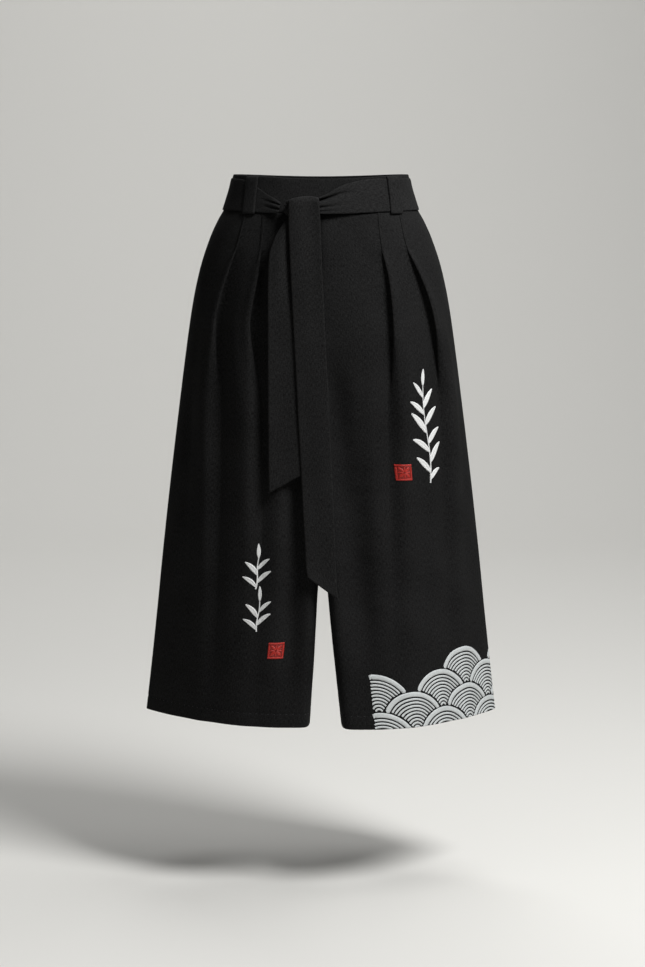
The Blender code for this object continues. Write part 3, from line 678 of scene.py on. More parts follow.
def satin_thread(name, dark, light):
    """Rayon embroidery thread: bright filament with a low gloss. The stitches show as fine lines
    across each band, with painted shade darkening the colour where they dip between two threads."""
    made, shader = blank(name, 0.42, 0.4)
    tree = made.node_tree
    place = add(tree, "UVMap", {}, uv_map="cut").outputs["UV"]
    lines = {"Vector": place, "Scale": WAVE_PERIOD / STITCH, "Distortion": 0.8, "Detail": 1.0}
    threads = add(tree, "TexWave", lines, bands_direction="Y").outputs["Fac"]
    uneven = add(tree, "TexNoise", {"Vector": place, "Scale": 520.0, "Detail": 2.0}).outputs["Fac"]
    mixed = add(tree, "MixRGB", {"Fac": 0.5, "Color1": threads, "Color2": uneven}).outputs[0]
    # Half of the colour comes from the stitch lines, and that half is painted shade in the dips between
    # threads. The other half is noise, which is the thread's own uneven tone.
    colour = two_tones(tree, mixed, dark, light, 0.15, 0.60)
    relief = add(tree, "Bump", {"Height": threads, "Strength": 0.4, "Distance": 0.0003}).outputs[0]
    tree.links.new(colour, shader.inputs["Base Color"])
    tree.links.new(relief, shader.inputs["Normal"])
    return made


white_thread = satin_thread("white_rayon_thread", "b8bbbb", "efefee")
grey_thread = satin_thread("grey_white_rayon_thread", "a3a7a7", "d4d8d8")
red_thread = satin_thread("red_rayon_thread", "80180f", "b42a20")
dark_red_thread = satin_thread("dark_red_rayon_thread", "560e0a", "8a1a12")
black_thread = satin_thread("black_sewing_thread", "0c0c0c", "232324")

# The rise beside a fold in fewer steps, for embroidery that lies over it.
LAP_RISE = named("at high", (-1, 0), (-0.62, 0.24), (-0.36, 0.76), (-0.2, 1))


def lap_height(side, way, z):
    """The height of a front's folds over its plain outline, by the way along the open cloth."""
    total = 0.0
    for line in PLEAT_LINES[side]:
        beside = way - at_height(line, z)
        rising = np.interp(beside / pleat("reach", z), LAP_RISE["at"], LAP_RISE["high"])
        total = total + pleat("lap", z) * rising * np.interp(beside, FOLD["open"], FOLD["high"])
    return total


def panel_surface(side, face, way, z):
    if face == BACK:
        return back_relief(side, way, z)
    return front_relief(side, way, z) + lap_height(side, way, z)


def satin(name, side, face, bands, thread, rise=SATIN_RISE, half_section=PLAIN_HALF):
    """Bands of stitches as one piece. A band is the line of its middle, as ways and heights on the
    cloth, and its half width along that line."""
    section = both_sides(half_section)
    points, quads, places, count = [], [], [], 0
    for middle, half in bands:
        ahead = np.gradient(middle, axis=0)
        across = np.stack([-ahead[:, 1], ahead[:, 0]], axis=-1)
        across /= np.linalg.norm(across, axis=1, keepdims=True)
        beside = half[:, None] * section["at"]
        way, z = np.moveaxis(middle[:, None] + across[:, None] * beside[..., None], -1, 0)
        grid = on_form(side, face, way, z, panel_surface(side, face, way, z) + rise * section["high"])
        run = np.repeat(run_of(middle)[:, None], way.shape[1], axis=1)
        cells = corners(np.arange(way.size).reshape(way.shape))
        points.append(grid.reshape(-1, 3))
        quads.append(cells + count)
        places.append(np.stack([beside, run], axis=-1).reshape(-1, 2)[cells])
        count += way.size
    joined = (np.concatenate(part) for part in (points, quads, places))
    return plain_mesh(name, *joined, thread, side * face == 1)


def worked_on(made):
    """Embroidery moves with its panel: it is attached to the same root body."""
    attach(made, "root")
    return made


def placed(side, x, z, bands):
    """Moves bands drawn about a point, +x to the left leg's side, to their place on a front."""
    start = float(at_height(ways_to(side, FRONT, abs(x)), z))
    return [(np.stack([start - side * line[:, 0], z + line[:, 1]], axis=-1), half) for line, half in bands]


# The leaves of a sprig: where each leaves the stalk, as a share of its height, how far it leans from
# upright in degrees, its length and half its width.
TALL_SPRIG = named(
    "at lean long wide",
    (0.04, 58, 0.0264, 0.0038),
    (0.11, -50, 0.0334, 0.0046),
    (0.22, 46, 0.0374, 0.0051),
    (0.31, -60, 0.0361, 0.0047),
    (0.40, 54, 0.0347, 0.0046),
    (0.50, -44, 0.0403, 0.0052),
    (0.59, 50, 0.0361, 0.0047),
    (0.68, -54, 0.0320, 0.0043),
    (0.76, 42, 0.0334, 0.0043),
    (0.85, -38, 0.0278, 0.0037),
    (0.97, 10, 0.0236, 0.0033),
)
SHORT_SPRIG = named(
    "at lean long wide",
    (0.06, -56, 0.0247, 0.0032),
    (0.20, 50, 0.0260, 0.0035),
    (0.44, -46, 0.0260, 0.0035),
    (0.60, 48, 0.0234, 0.0031),
    (0.95, -6, 0.0208, 0.0029),
)
LEAF_CURL, STALK_HALF = 0.7, 0.0012


def stalk(height, sway):
    """A stalk that sways to both sides, and its half width, which shrinks towards its tip."""
    t = np.linspace(0, 1, 60)
    line = np.stack([sway * np.sin(2 * np.pi * t) * (1 - 0.4 * t), height * (t - 0.5)], axis=-1)
    return line, STALK_HALF * (1 - 0.45 * t)


def leaves(table, line):
    """Leaves that start on a stalk's line and curl outward."""
    t = np.linspace(0, 1, 26)
    wide = np.sin(np.pi * (0.04 + 0.92 * t) ** 0.85) ** 0.8
    for leaf in rows_of(table):
        foot = line[int(leaf["at"] * (len(line) - 1))]
        turn = np.radians(leaf["lean"]) * (0.6 + LEAF_CURL * t)
        steps = np.stack([np.sin(turn), np.cos(turn)], axis=-1) * leaf["long"] / (len(t) - 1)
        yield foot + np.cumsum(steps, axis=0), leaf["wide"] * wide


def sprig(name, side, x, z, height, sway, table):
    line, half = stalk(height, sway)
    stem = placed(side, x, z, [(line, half)])
    blades = placed(side, x, z, list(leaves(table, line)))
    worked_on(satin(f"{name}_stalk", side, FRONT, stem, white_thread))
    worked_on(satin(f"{name}_leaves", side, FRONT, blades, white_thread, half_section=VEINED_HALF))


sprig("sprig_left", LEFT, 0.1525, -0.343, 0.145, 0.0035, TALL_SPRIG)
sprig("sprig_right_upper", RIGHT, -0.0915, -0.541, 0.046, 0.0012, SHORT_SPRIG)
sprig("sprig_right_lower", RIGHT, -0.0905, -0.602, 0.046, -0.0012, SHORT_SPRIG)

# A red square has a wide rim and a flower of four long and four short petals in it.
SQUARE_HALF, RIM_HALF = 0.0116, 0.0015
PETAL_LONG, PETAL_WIDE, PETAL_FOOT = 0.0092, 0.0024, 0.0012
SHORT_SHARE, NARROW_SHARE = 0.78, 0.55
GROUND_ROWS, GROUND_HALF = 7, 0.0015
GROUND_RISE, SQUARE_RISE = 0.0004, 0.0009
SQUARES = {"red_square_left": (LEFT, 0.1174, -0.3972), "red_square_right": (RIGHT, -0.0644, -0.6515)}


def square_bands():
    """The rim's four sides: two run the whole width, and two between them."""
    side_middle = SQUARE_HALF - RIM_HALF
    t = np.linspace(-1, 1, 24)
    for quarter in range(4):
        turn = quarter * np.pi / 2
        facing, along = np.array([np.cos(turn), np.sin(turn)]), np.array([-np.sin(turn), np.cos(turn)])
        reach = SQUARE_HALF - (0.0003 if quarter % 2 else 2 * RIM_HALF + 0.0002)
        yield side_middle * facing + reach * t[:, None] * along, np.full(len(t), RIM_HALF)


def petal_bands():
    t = np.linspace(0, 1, 18)
    for petal in range(8):
        turn = petal * np.pi / 4
        long = PETAL_LONG if petal % 2 else SHORT_SHARE * PETAL_LONG
        wide = PETAL_WIDE if petal % 2 else NARROW_SHARE * PETAL_WIDE
        facing = np.array([np.cos(turn), np.sin(turn)])
        yield (PETAL_FOOT + long * t)[:, None] * facing, wide * np.sin(np.pi * (0.06 + 0.9 * t)) ** 0.7


def ground_bands():
    """Level rows that fill the square between the rim and the flower."""
    reach = SQUARE_HALF - 2 * RIM_HALF
    for high in np.linspace(-1, 1, GROUND_ROWS) * (reach - 0.0014):
        yield np.linspace((-reach, high), (reach, high), 16), np.full(16, GROUND_HALF)


for name, (side, x, z) in SQUARES.items():
    ground = placed(side, x, z, list(ground_bands()))
    worked_on(satin(f"{name}_ground", side, FRONT, ground, dark_red_thread, rise=GROUND_RISE))
    bands = placed(side, x, z, [*square_bands(), *petal_bands()])
    worked_on(satin(name, side, FRONT, bands, red_thread, rise=SQUARE_RISE))

# The border: rows of equal humps, each row half a hump along from the one below and covered by it.
# Ways are counted from the side seam, on towards the inseam on the front and back on the back.
HUMP, ROW_STEP, ROW_LOW = 0.054, 0.027, -0.030
HUMP_ROWS = named("shift reach", (0.020, 0.400), (0.074, 0.400), (0.020, 0.260), (0.074, 0.110))
RIM_BAND, ARC_BAND, ARC_STEP, ARC_GAP = 0.0036, 0.0015, 0.0048, 0.0018
LEAST_RADIUS, LEAST_HALF, ARC_POINT = 0.003, 0.0002, 0.0018
# Where a line misses a hump, the hump is taken to be this far off.
FAR = 9
# The border stops short of the hem's fold and of the side seam, and at a slanting line near the
# inseam.
BORDER_CLEAR, SEAM_CLEAR = 0.0005, 0.0012
BORDER_EDGE = named("z x_front x_back", (-0.762, 0.0470, 0.0420), (-0.660, 0.0345, 0.0330))


def hump_centres():
    """The humps from the lowest row up, so that each is covered by those before it."""
    for k, row in enumerate(rows_of(HUMP_ROWS)):
        for j in range(-4, 4):
            way = row["shift"] + 2 * HUMP * j
            if abs(way) < row["reach"]:
                yield k, np.array([way, HEM_Z + ROW_LOW + ROW_STEP * k])


def without(lo, hi, start, end):
    """What is left of the stretch lo to hi when start to end is taken out: the longer piece."""
    meets = (start < hi) & (end > lo)
    low_piece = meets & (start - lo >= hi - end)
    return np.where(meets & ~low_piece, end, lo), np.where(low_piece, start, hi)


def border_limits(face):
    """The lines that bound the border on a panel, each a direction and the most it may reach."""
    x = BORDER_EDGE["x_front" if face == FRONT else "x_back"]
    ends = [float(at_height(ways_to(LEFT, face, x_at), z)) for x_at, z in zip(x, BORDER_EDGE["z"])]
    slope = (ends[1] - ends[0]) / (BORDER_EDGE["z"][1] - BORDER_EDGE["z"][0])
    sign = 1 if face == FRONT else -1
    return (
        (np.array([0.0, -1.0]), -(HEM_Z + BORDER_CLEAR)),
        (np.array([-sign, 0.0]), -SEAM_CLEAR),
        (np.array([sign, -slope]), ends[0] - slope * HEM_Z),
    )


def arcs(centre, covering, limits):
    """The bands of one hump that show, from its rim inward."""
    radii = [(HUMP - RIM_BAND, RIM_BAND)]
    first = HUMP - 2 * RIM_BAND - ARC_GAP - ARC_BAND
    radii += [(radius, ARC_BAND) for radius in np.arange(first, LEAST_RADIUS, -ARC_STEP)]
    for radius, half in radii:
        count = max(int(1.6 * np.pi * radius / ARC_POINT), 16)
        angle = np.linspace(-0.3 * np.pi, 1.3 * np.pi, count)
        facing = np.stack([np.cos(angle), np.sin(angle)], axis=-1)
        lo, hi = np.full(len(angle), radius - half), np.full(len(angle), radius + half)
        for other in covering:
            along = facing @ (other - centre)
            room = (HUMP + ARC_GAP) ** 2 - (other - centre) @ (other - centre) + along**2
            root = np.sqrt(np.maximum(room, 0))
            start, end = np.where(room > 0, along - root, FAR), np.where(room > 0, along + root, FAR)
            lo, hi = without(lo, hi, start, end)
        for normal, most in limits:
            slope = facing @ normal
            slope = np.where(np.abs(slope) < 1e-6, 1e-6, slope)
            reach = (most - centre @ normal) / slope
            lo = np.where(slope < 0, np.maximum(lo, reach), lo)
            hi = np.where(slope > 0, np.minimum(hi, reach), hi)
        shown = np.flatnonzero(hi - lo > 2 * LEAST_HALF)
        for run in np.split(shown, np.flatnonzero(np.diff(shown) > 1) + 1):
            if len(run) > 3:
                middle = centre + facing[run] * ((lo + hi) / 2)[run, None]
                yield middle, ((hi - lo) / 2)[run]


for face, name in ((FRONT, "arc_border_front"), (BACK, "arc_border_back")):
    bands, done = [], []
    for row, centre in hump_centres():
        covering = [other for other_row, other in done if other_row < row]
        bands += arcs(centre, covering, border_limits(face))
        done.append((row, centre))
    if face == BACK:
        bands = [(line[::-1] * (-1, 1), half[::-1]) for line, half in bands]
    worked_on(satin(name, LEFT, face, bands, grey_thread))

# Pick stitches hold the turned-up hems. Each shows on the outside as a short level black thread.
PICK_SPACING, PICK_LONG, PICK_HALF, PICK_RISE = 0.009, 0.0016, 0.00022, 0.0003
PICK_Z = HEM_Z + HEM_DEPTH - 0.001
PICK_MARGIN = 0.006
PANELS = {
    "right_front": (RIGHT, FRONT),
    "left_front": (LEFT, FRONT),
    "right_back": (RIGHT, BACK),
    "left_back": (LEFT, BACK),
}
for name, (side, face) in PANELS.items():
    end = float(length(side, face, HEM_Z + HEM_DEPTH))
    t = np.linspace(0, PICK_LONG, 4)
    picks = []
    for start in np.arange(PICK_MARGIN, end - PICK_MARGIN, PICK_SPACING):
        picks.append((np.stack([start + t, PICK_Z + 0 * t], axis=-1), np.full(4, PICK_HALF)))
    worked_on(satin(f"hem_stitches_{name}", side, face, picks, black_thread, rise=PICK_RISE))


# Waistband. A contoured band 50 mm high, of two layers of the cloth with interfacing between them,
# seamed to the panels and folded over at the top edge.
BAND_CLOTH, BAND_PROUD = 0.0026, 0.0004
BAND_COLUMNS = 44
band_cloth = plain_weave("interfaced_plain_weave", "0a0a0a", "242424", 0.90, 0.002)


def round_waist(count):
    """Quarters of the waist in turn from the left side seam, with shares of each one's way."""
    out = np.linspace(0, 1, count)[:-1]
    back = np.linspace(0, 1, count)[::-1][:-1]
    return ((LEFT, FRONT, out), (RIGHT, FRONT, back), (RIGHT, BACK, out), (LEFT, BACK, back))


def band_line(z, off):
    """A level line of the band round the whole waist."""
    ring = []
    for side, face, shares in round_waist(BAND_COLUMNS):
        way = shares * float(length(side, face, z))
        x = on_form(side, face, way, z)[:, 0]
        high = band_edge(face, x, z, float(smooth(LEVELS["z"], LEVELS["side"], z)))
        soft = 0.0003 * np.sin(way * 97 + side * 2 + z * 80) * np.cos(z * 130)
        ring.append(on_form(side, face, shares * length(side, face, high), high, off + soft))
    return np.concatenate(ring)


def laid_flat(across, down):
    """Each point's place on the cloth, for a grid that is a plain strip of it."""
    return np.stack(np.meshgrid(across, down), axis=-1)


def closed_band(name, section, material):
    """A mesh through level lines, closed round the waist and round its section."""
    rings = np.array([band_line(z, off) for z, off in section])
    whole = np.concatenate([rings, rings[:1]])
    whole = np.concatenate([whole, whole[:, :1]], axis=1)
    cut = laid_flat(run_of(whole[0]), run_of(whole[:, 0]))
    return grid_mesh(name, rings, cut, material, ring=True, closed=True)


def band_section():
    """Height and offset round the band's section, from its lower outer edge up and over."""
    top = BAND_HALF - BAND_CLOTH / 2
    outer = [(z, BAND_PROUD) for z in np.linspace(-BAND_HALF + 0.0008, top, 14)]
    over = [
        (top + BAND_CLOTH / 2 * math.sin(a), BAND_PROUD - BAND_CLOTH / 2 * (1 - math.cos(a)))
        for a in np.linspace(0, math.pi, 9)[1:-1]
    ]
    inner = [(z, BAND_PROUD - BAND_CLOTH) for z in np.linspace(top, -BAND_HALF, 8)]
    return outer + over + inner + [(-BAND_HALF, BAND_PROUD - 0.0006)]


waistband = closed_band("cloth_waistband", band_section(), band_cloth)
fitted(waistband, "waistband")


# Belt loops. Four strips of the cloth, folded to three layers and 21 mm wide. Both ends are turned
# under and tacked down, the lower one over the seam, with room for the sash under the strip.
LOOP_WIDE, LOOP_CLOTH = 0.0212, 0.0018
LOOPS = {
    "loop_front_right": (RIGHT, FRONT, 0.0955, 0.1015),
    "loop_front_left": (LEFT, FRONT, 0.1005, 0.1070),
    "loop_back_right": (RIGHT, BACK, 0.0700, 0.0740),
    "loop_back_left": (LEFT, BACK, 0.0700, 0.0740),
}
# The strip's outer face from its top fold to its bottom fold.
LOOP_PATH = named(
    "z off",
    (0.0220, 0.0018),
    (0.0223, 0.0026),
    (0.0217, 0.0036),
    (0.0200, 0.0044),
    (0.0150, 0.0048),
    (-0.0050, 0.0049),
    (-0.0250, 0.0049),
    (-0.0285, 0.0045),
    (-0.0301, 0.0036),
    (-0.0305, 0.0026),
    (-0.0303, 0.0018),
)
loop_cloth = plain_weave("folded_plain_weave", "0b0b0b", "272727", 0.88, 0.003)


def along_path(table, columns, count):
    """Reads a path's columns at even steps of its run."""
    steps = np.hypot(np.diff(table[columns[0]]), np.diff(table[columns[1]]))
    run = np.concatenate([[0], np.cumsum(steps)])
    at = np.linspace(0, run[-1], count)
    return [smooth(run, table[column], at) for column in columns], at


def rounded_edge(shares, power=10):
    """Half thickness across a flat strip, which rounds off at its two edges."""
    return np.sqrt(np.clip(1 - np.abs(2 * shares - 1) ** power, 0.02, 1))


def strip(name, outer, inner, cut, material, flip=False):
    """A closed flat tube between the outer and the inner points of each row."""
    rows, columns = outer.shape[:2]
    points = np.concatenate([outer, inner[:, ::-1]], axis=1)
    around = np.concatenate([cut, cut[:, ::-1]], axis=1)
    c = np.arange(columns - 1)
    cap = np.stack([c + 1, c, 2 * columns - 1 - c, 2 * columns - 2 - c], axis=-1)
    last = cap[:, ::-1] + (rows - 1) * 2 * columns
    return grid_mesh(name, points, around, material, flip=flip, ring=True, caps=(cap, last))


def belt_loop(name, side, face, top_x, bottom_x):
    (z, off), run = along_path(LOOP_PATH, ("z", "off"), 46)
    shares = np.linspace(0, 1, 13)
    share_down = (z[0] - z) / (z[0] - z[-1])
    x = top_x + (bottom_x - top_x) * share_down
    half = float(smooth(LEVELS["z"], LEVELS["side"], 0.0))
    high = z if face == FRONT else z - BACK_DIP * (1 - (x / half) ** 2) ** 1.5
    middle = np.array([at_height(ways_to(side, face, d), h) for d, h in zip(x, high)])
    ways = middle[:, None] + (shares - 0.5) * LOOP_WIDE
    high = np.repeat(high[:, None], len(shares), axis=1)
    waved = off[:, None] + 0.0002 * np.sin(run[:, None] * 190 + shares * 3)
    half_thick = LOOP_CLOTH / 2 * rounded_edge(shares)
    outer = on_form(side, face, ways, high, waved - LOOP_CLOTH / 2 + half_thick)
    inner = on_form(side, face, ways, high, waved - LOOP_CLOTH / 2 - half_thick)
    cut = laid_flat(shares * LOOP_WIDE, run)
    return strip(f"cloth_{name}", outer, inner, cut, loop_cloth, flip=side * face == 1)


for name, placing in LOOPS.items():
    loop = fitted(belt_loop(name, *placing), name)


# Sash. One strip of the cloth, 48 mm wide when sewn and turned. It goes round the waist through the
# loops and is tied on the right of the middle. The knot gathers it, so folds fan out from there.
SASH_WIDE, SASH_CLOTH = 0.048, 0.0016
WRAP_RIGHT = named(
    "x upper lower off",
    (0.0535, -0.0140, -0.0290, 0.0048),
    (0.0640, -0.0080, -0.0292, 0.0030),
    (0.0760, -0.0020, -0.0288, 0.0010),
    (0.0840, 0.0030, -0.0285, 0.0003),
    (0.1000, 0.0120, -0.0275, 0.0003),
    (0.1120, 0.0175, -0.0268, 0.0003),
    (0.1260, 0.0192, -0.0262, 0.0003),
)
WRAP_LEFT = named(
    "x upper lower off",
    (-0.0030, -0.0070, -0.0300, 0.0052),
    (0.0080, -0.0020, -0.0305, 0.0042),
    (0.0340, 0.0110, -0.0300, 0.0018),
    (0.0640, 0.0175, -0.0285, 0.0008),
    (0.0860, 0.0192, -0.0275, 0.0003),
    (0.1260, 0.0192, -0.0262, 0.0003),
)
# The gathers: where each crease lies across the sash at the knot and where it ends, how far out it
# reaches, its depth and its width as a share of the sash.
GATHERS = {
    LEFT: named(
        "at_knot at_end x_end deep wide",
        (0.20, 0.34, 0.052, 0.0080, 0.070),
        (0.62, 0.70, 0.046, 0.0030, 0.070),
        (0.86, 0.84, 0.050, 0.0014, 0.060),
    ),
    RIGHT: named(
        "at_knot at_end x_end deep wide",
        (0.26, 0.40, 0.084, 0.0042, 0.070),
        (0.66, 0.66, 0.080, 0.0046, 0.080),
    ),
}
# Near the knot the cloth puffs out, and its lower edge more so. x is where that ends.
PUFF, HANG_OUT, PUFF_END = 0.0030, 0.0024, 0.075
sash_cloth = plain_weave("soft_plain_weave", "0b0b0b", "272727", 0.88, 0.003)


def gathered(side, x, shares, start):
    """How far the knot's gathers move the sash out, x from the middle."""
    near = float(ease((PUFF_END - x) / (PUFF_END - start)))
    total = PUFF * near * np.sin(np.pi * shares) ** 0.6 + HANG_OUT * near * shares**3
    for crease in rows_of(GATHERS[side]):
        reach = float(np.clip((crease["x_end"] - x) / (crease["x_end"] - start), 0, 1))
        middle = crease["at_end"] + (crease["at_knot"] - crease["at_end"]) * reach
        total = total - crease["deep"] * reach**1.3 * bump(shares, middle, crease["wide"])
    return total


def wrap_lines():
    """Lines across the sash, from the knot round the right side and the back to the knot again."""
    level_way = {(side, face): float(length(side, face, 0.0)) for side, face in FORM}
    start_right = float(at_height(ways_to(RIGHT, FRONT, WRAP_RIGHT["x"][0]), 0.0))
    start_left = float(at_height(ways_to(RIGHT, FRONT, -WRAP_LEFT["x"][0]), 0.0))
    for way in np.linspace(start_right, 0, 60)[:-1]:
        yield RIGHT, FRONT, way, 1
    for way in np.linspace(0, level_way[RIGHT, BACK], 50)[:-1]:
        yield RIGHT, BACK, way, 1
    for way in np.linspace(level_way[LEFT, BACK], 0, 50)[:-1]:
        yield LEFT, BACK, way, 1
    for way in np.linspace(0, level_way[LEFT, FRONT], 90)[:-1]:
        yield LEFT, FRONT, way, 1
    for way in np.linspace(level_way[RIGHT, FRONT], start_left, 3):
        yield RIGHT, FRONT, way, -1


def wrap_points():
    """The outer and inner points of the sash round the waist, and their places on the cloth."""
    shares = np.linspace(0, 1, 41)
    half_thick = SASH_CLOTH / 2 * rounded_edge(shares, 16)
    outer, inner = [], []
    for side, face, way, sign in wrap_lines():
        x = sign * abs(float(on_form(side, face, way, 0.0)[0]))
        left = side * sign == LEFT
        table, start = (WRAP_LEFT, WRAP_LEFT["x"][0]) if left else (WRAP_RIGHT, WRAP_RIGHT["x"][0])
        at = x if face == FRONT else table["x"][-1]
        upper, lower, off = (float(smooth(table["x"], table[c], at)) for c in ("upper", "lower", "off"))
        dip = 0.0
        if face == BACK:
            dip = float(band_edge(BACK, x, 0.0, float(LEVELS["side"][1])))
        z = upper + (lower - upper) * shares + dip
        lift = gathered(LEFT if left else RIGHT, at, shares, start)
        lift = lift + 0.0003 * np.sin(way * 83 + 3 * side + shares * 5) * np.sin(np.pi * shares)
        along = way * length(side, face, z) / length(side, face, 0.0)
        base = BAND_PROUD + off + SASH_CLOTH / 2 + lift
        outer.append(on_form(side, face, along, z, base + half_thick))
        inner.append(on_form(side, face, along, z, base - half_thick))
    outer, inner = np.array(outer), np.array(inner)
    return outer, inner, laid_flat(shares * SASH_WIDE, run_of(outer[:, 20]))


sash_wrap = fitted(strip("cloth_sash_wrap", *wrap_points(), sash_cloth, flip=True), "sash_wrap")


# Knot. The right end is brought over the left one and back through, so the knot is a small crumpled
# lump with creases that run round it. The long end covers all but its edge.
KNOT_CENTRE = (-0.0286, -0.1144, -0.0215)
KNOT_HALF = (0.0242, 0.0105, 0.0140)
KNOT_COLUMNS, KNOT_ROWS = 96, 48
# The power that squares the ball, and the mean radius that turns its angles to places on the cloth.
KNOT_POWER, KNOT_RADIUS = 0.75, 0.012
KNOT_CREASES = named(
    "slope place deep wide",
    (0.5, -0.62, 0.15, 0.10),
    (-0.7, -0.15, 0.12, 0.12),
    (0.3, 0.35, 0.14, 0.11),
    (-0.4, 0.70, 0.10, 0.10),
)


def knot_points():
    turn = np.linspace(0, 2 * np.pi, KNOT_COLUMNS + 1)[:-1]
    rise = np.linspace(-np.pi / 2, np.pi / 2, KNOT_ROWS + 2)[1:-1]
    turn, rise = np.meshgrid(turn, rise)
    ball = np.stack([np.cos(rise) * np.cos(turn), np.cos(rise) * np.sin(turn), np.sin(rise)], axis=-1)
    ball = np.sign(ball) * np.abs(ball) ** KNOT_POWER
    size = np.ones(turn.shape)
    for crease in rows_of(KNOT_CREASES):
        beside = ball[..., 2] - crease["slope"] * ball[..., 0] - crease["place"]
        size -= crease["deep"] * np.exp(-((beside / crease["wide"]) ** 2))
    cut = np.stack([turn * KNOT_RADIUS, rise * KNOT_RADIUS], axis=-1)
    return ball * size[..., None] * KNOT_HALF + KNOT_CENTRE, cut


def end_strips(columns, rows):
    """Strips across the two small open ends of a ring grid."""
    c = np.arange(columns // 2 - 1)
    cap = np.stack([c, c + 1, columns - 2 - c, columns - 1 - c], axis=-1)
    return cap[:, ::-1], cap + (rows - 1) * columns


points, cut = knot_points()
caps = end_strips(KNOT_COLUMNS, KNOT_ROWS)
knot = grid_mesh("cloth_sash_knot", points, cut, sash_cloth, ring=True, caps=caps)
fitted(knot, "sash_knot")


# Sash ends. The long end falls over the knot and hangs flat to below the crotch. The short end comes
# out under the knot, still folded from it, and opens as it falls. Both are cut slantwise.
LONG_END = named(
    "z y right left",
    (-0.0064, -0.1100, -0.0440, -0.0030),
    (-0.0052, -0.1150, -0.0445, -0.0030),
    (-0.0055, -0.1205, -0.0450, -0.0025),
    (-0.0085, -0.1244, -0.0452, -0.0022),
    (-0.0145, -0.1260, -0.0455, -0.0020),
    (-0.0400, -0.1270, -0.0456, -0.0005),
    (-0.1000, -0.1277, -0.0432, 0.0018),
    (-0.2000, -0.1285, -0.0382, 0.0065),
    (-0.3000, -0.1290, -0.0330, 0.0112),
    (-0.4000, -0.1294, -0.0278, 0.0163),
    (-0.5000, -0.1330, -0.0225, 0.0212),
    (-0.5300, -0.1357, -0.0209, 0.0227),
    (-0.5450, -0.1378, -0.0185, 0.0252),
)
LONG_CUT = 0.032
SHORT_END = named(
    "z y right left",
    (-0.0360, -0.1170, -0.0525, -0.0290),
    (-0.0480, -0.1192, -0.0590, -0.0275),
    (-0.0650, -0.1208, -0.0660, -0.0265),
    (-0.0900, -0.1222, -0.0730, -0.0262),
    (-0.1300, -0.1232, -0.0748, -0.0270),
    (-0.2000, -0.1240, -0.0750, -0.0275),
    (-0.3000, -0.1248, -0.0748, -0.0275),
    (-0.3990, -0.1270, -0.0740, -0.0270),
)
SHORT_CUT = -0.026
# The folded top of an end is lower at its two edges, more so on the right.
SHOULDER_RIGHT, SHOULDER_LEFT, SHOULDER_REACH = 0.0060, 0.0030, 0.024
RIPPLE, KNOT_WAVE, KNOT_FADE = 0.0003, 0.0009, 0.09
# The short end is still folded at the top: one share of its width stands out, another lies in.
SHORT_FOLDS = named("at wide height", (0.28, 0.16, 0.0020), (0.72, 0.17, -0.0056))
UNFOLDED_Z, FOLDED_REACH = -0.200, 0.150


def hanging_end(name, table, cut_off, ripple):
    """An end of the sash: rows down its path, each from edge to edge. ripple gives its folds."""
    (z, y, right, left), run = along_path(table, ("z", "y", "right", "left"), 220)
    shares = np.linspace(0, 1, 33)
    slant = np.clip((z[0] - z) / (z[0] - z[-1]), 0, 1) ** 6
    low = shares if cut_off > 0 else 1 - shares
    grid = np.empty((len(z), len(shares), 3))
    grid[..., 0] = right[:, None] + (left - right)[:, None] * shares
    grid[..., 2] = z[:, None] - abs(cut_off) * slant[:, None] * low
    shoulders = SHOULDER_RIGHT * (1 - shares) ** 3 + SHOULDER_LEFT * shares**5
    grid[..., 2] -= shoulders * np.exp(-((run[:, None] / SHOULDER_REACH) ** 2))
    grid[..., 1] = y[:, None] - ripple(grid[..., 2], shares)
    out = np.cross(np.gradient(grid, axis=1), np.gradient(grid, axis=0))
    out /= np.linalg.norm(out, axis=2, keepdims=True)
    out *= np.sign(-out[-1, 16, 1])
    half_thick = (SASH_CLOTH / 2 * rounded_edge(shares, 16))[None, :, None]
    cut = laid_flat(shares * SASH_WIDE, run)
    return strip(name, grid + out * half_thick, grid - out * half_thick, cut, sash_cloth)


def long_ripple(z, shares):
    """Faint upright waves, a little stronger at the top where the end still remembers the knot."""
    near = np.exp(z / KNOT_FADE)
    waves = RIPPLE * np.sin(shares * 7 + z * 9) * (1 + 1.5 * near)
    return waves + KNOT_WAVE * near * np.sin(np.pi * shares * 2)


def short_ripple(z, shares):
    """The folds that fade out on the way down, and faint upright waves."""
    near = ease((z - UNFOLDED_Z) / FOLDED_REACH)
    folds = sum(fold["height"] * bump(shares, fold["at"], fold["wide"]) for fold in rows_of(SHORT_FOLDS))
    return near * folds + RIPPLE * np.sin(shares * 6 + z * 13)


long_end = hanging_end("cloth_sash_long_end", LONG_END, LONG_CUT, long_ripple)
fitted(long_end, "sash_long_end")
short_end = hanging_end("cloth_sash_short_end", SHORT_END, SHORT_CUT, short_ripple)
fitted(short_end, "sash_short_end")


# The studio. A pale seamless sheet runs from the floor up behind the trousers, which hang clear of
# it. A large soft lamp stands high on their left, with a weak fill on the other side.
FLOOR_Z = -1.000


def seamless():
    """A floor that curves up into a backdrop."""
    half, front, back, rise, radius = 3.2, -2.0, 5.4, 6.0, 2.0
    angle = np.linspace(0, np.pi / 2, 24)
    profile = [(front, 0.0), (back - radius, 0.0)]
    profile += [(back - radius + radius * math.sin(a), radius * (1 - math.cos(a))) for a in angle[1:]]
    profile += [(back, rise)]
    grid = np.array([[(x, y, FLOOR_Z + z) for x in (-half, half)] for y, z in profile])
    return grid_mesh("studio_sheet", grid, grid[..., :2], paper, flip=True)


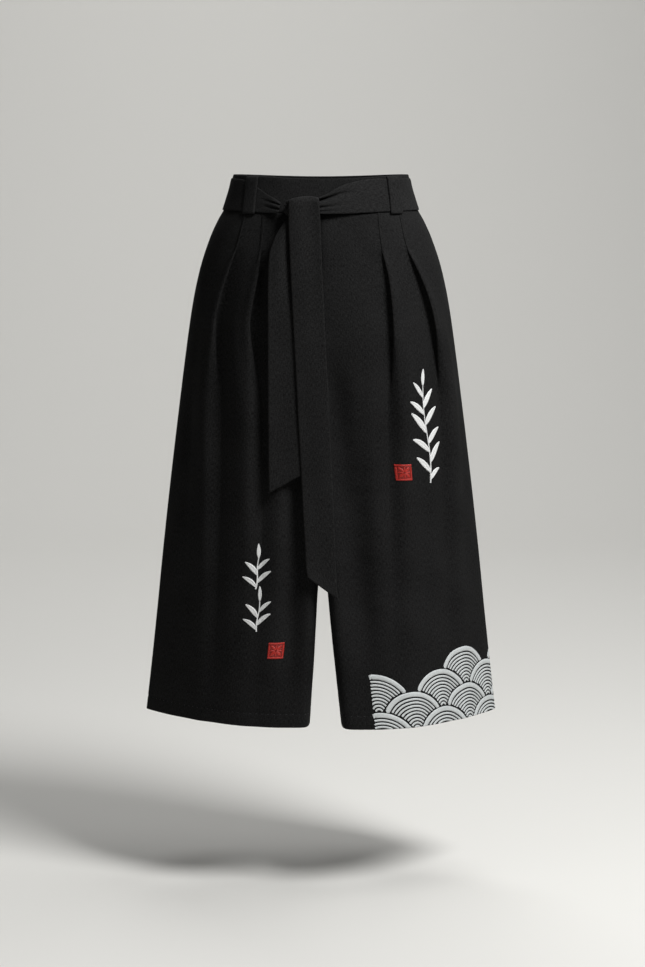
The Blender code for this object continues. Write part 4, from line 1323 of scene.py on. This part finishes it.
def plain_paper(name, colour, roughness):
    """Matt background paper: even in colour, with no shine that would show a horizon."""
    made, shader = blank(name, roughness, 0.1)
    tree = made.node_tree
    place = add(tree, "TexCoord", {}).outputs["Object"]
    tooth = add(tree, "TexNoise", {"Vector": place, "Scale": 900.0, "Detail": 2.0}).outputs["Fac"]
    relief = add(tree, "Bump", {"Height": tooth, "Strength": 0.1, "Distance": 0.0002}).outputs[0]
    tree.links.new(relief, shader.inputs["Normal"])
    shader.inputs["Base Color"].default_value = linear(colour)
    return made


paper = plain_paper("matt_background_paper", "dcdbd7", 0.95)
seamless()


def soft_lamp(name, place, target, size, power):
    """A round white lamp of a width in metres and a power in watts, aimed at a point."""
    light = bpy.data.lights.new(name, "AREA")
    light.shape = "DISK"
    light.size = size
    light.energy = power
    lamp = bpy.data.objects.new(name, light)
    bpy.context.scene.collection.objects.link(lamp)
    lamp.location = place
    way = np.array(target) - np.array(place)
    yaw = math.atan2(way[1], way[0]) - math.pi / 2
    pitch = math.atan2(way[2], math.hypot(way[0], way[1]))
    lamp.rotation_euler = (math.pi / 2 + pitch, 0, yaw)
    return lamp


soft_lamp("key_lamp", (1.10, -1.10, 1.60), (0.0, 0.0, -0.30), 1.0, 78)
soft_lamp("fill_lamp", (-2.4, -1.8, 1.6), (-0.6, -0.2, -1.0), 2.0, 5)
soft_lamp("top_lamp", (0.9, 0.7, 2.5), (0.3, 0.7, -1.0), 2.0, 33)
soft_lamp("backdrop_lamp", (-0.5, 3.0, 3.2), (-0.1, 4.8, -0.2), 2.0, 80)
world = bpy.data.worlds.new("studio_air")
world.use_nodes = True
# Past the sheet's edges the room looks as pale as the sheet, but it gives hardly any light.
seen = add(world.node_tree, "LightPath", {}).outputs["Is Camera Ray"]
glow = add(world.node_tree, "MapRange", {"Value": seen, "To Min": 0.05, "To Max": 0.50}).outputs[0]
world.node_tree.links.new(glow, world.node_tree.nodes["Background"].inputs["Strength"])
world.node_tree.nodes["Background"].inputs["Color"].default_value = linear("ffffff")
bpy.context.scene.world = world
bpy.context.scene.view_settings.view_transform = "Standard"

# The camera stands 4 m off, a little above the waist, and looks down by 6.8 degrees on a long lens,
# so that the whole length fits with room above and below it.
lens = bpy.data.cameras.new("studio_camera")
lens.sensor_width = 36.0
lens.lens = 102.2
camera = bpy.data.objects.new("studio_camera", lens)
bpy.context.scene.collection.objects.link(camera)
camera.location = (0.0025, -4.0, 0.05)
camera.rotation_euler = (math.radians(90 - 6.788), 0, 0)
bpy.context.scene.camera = camera
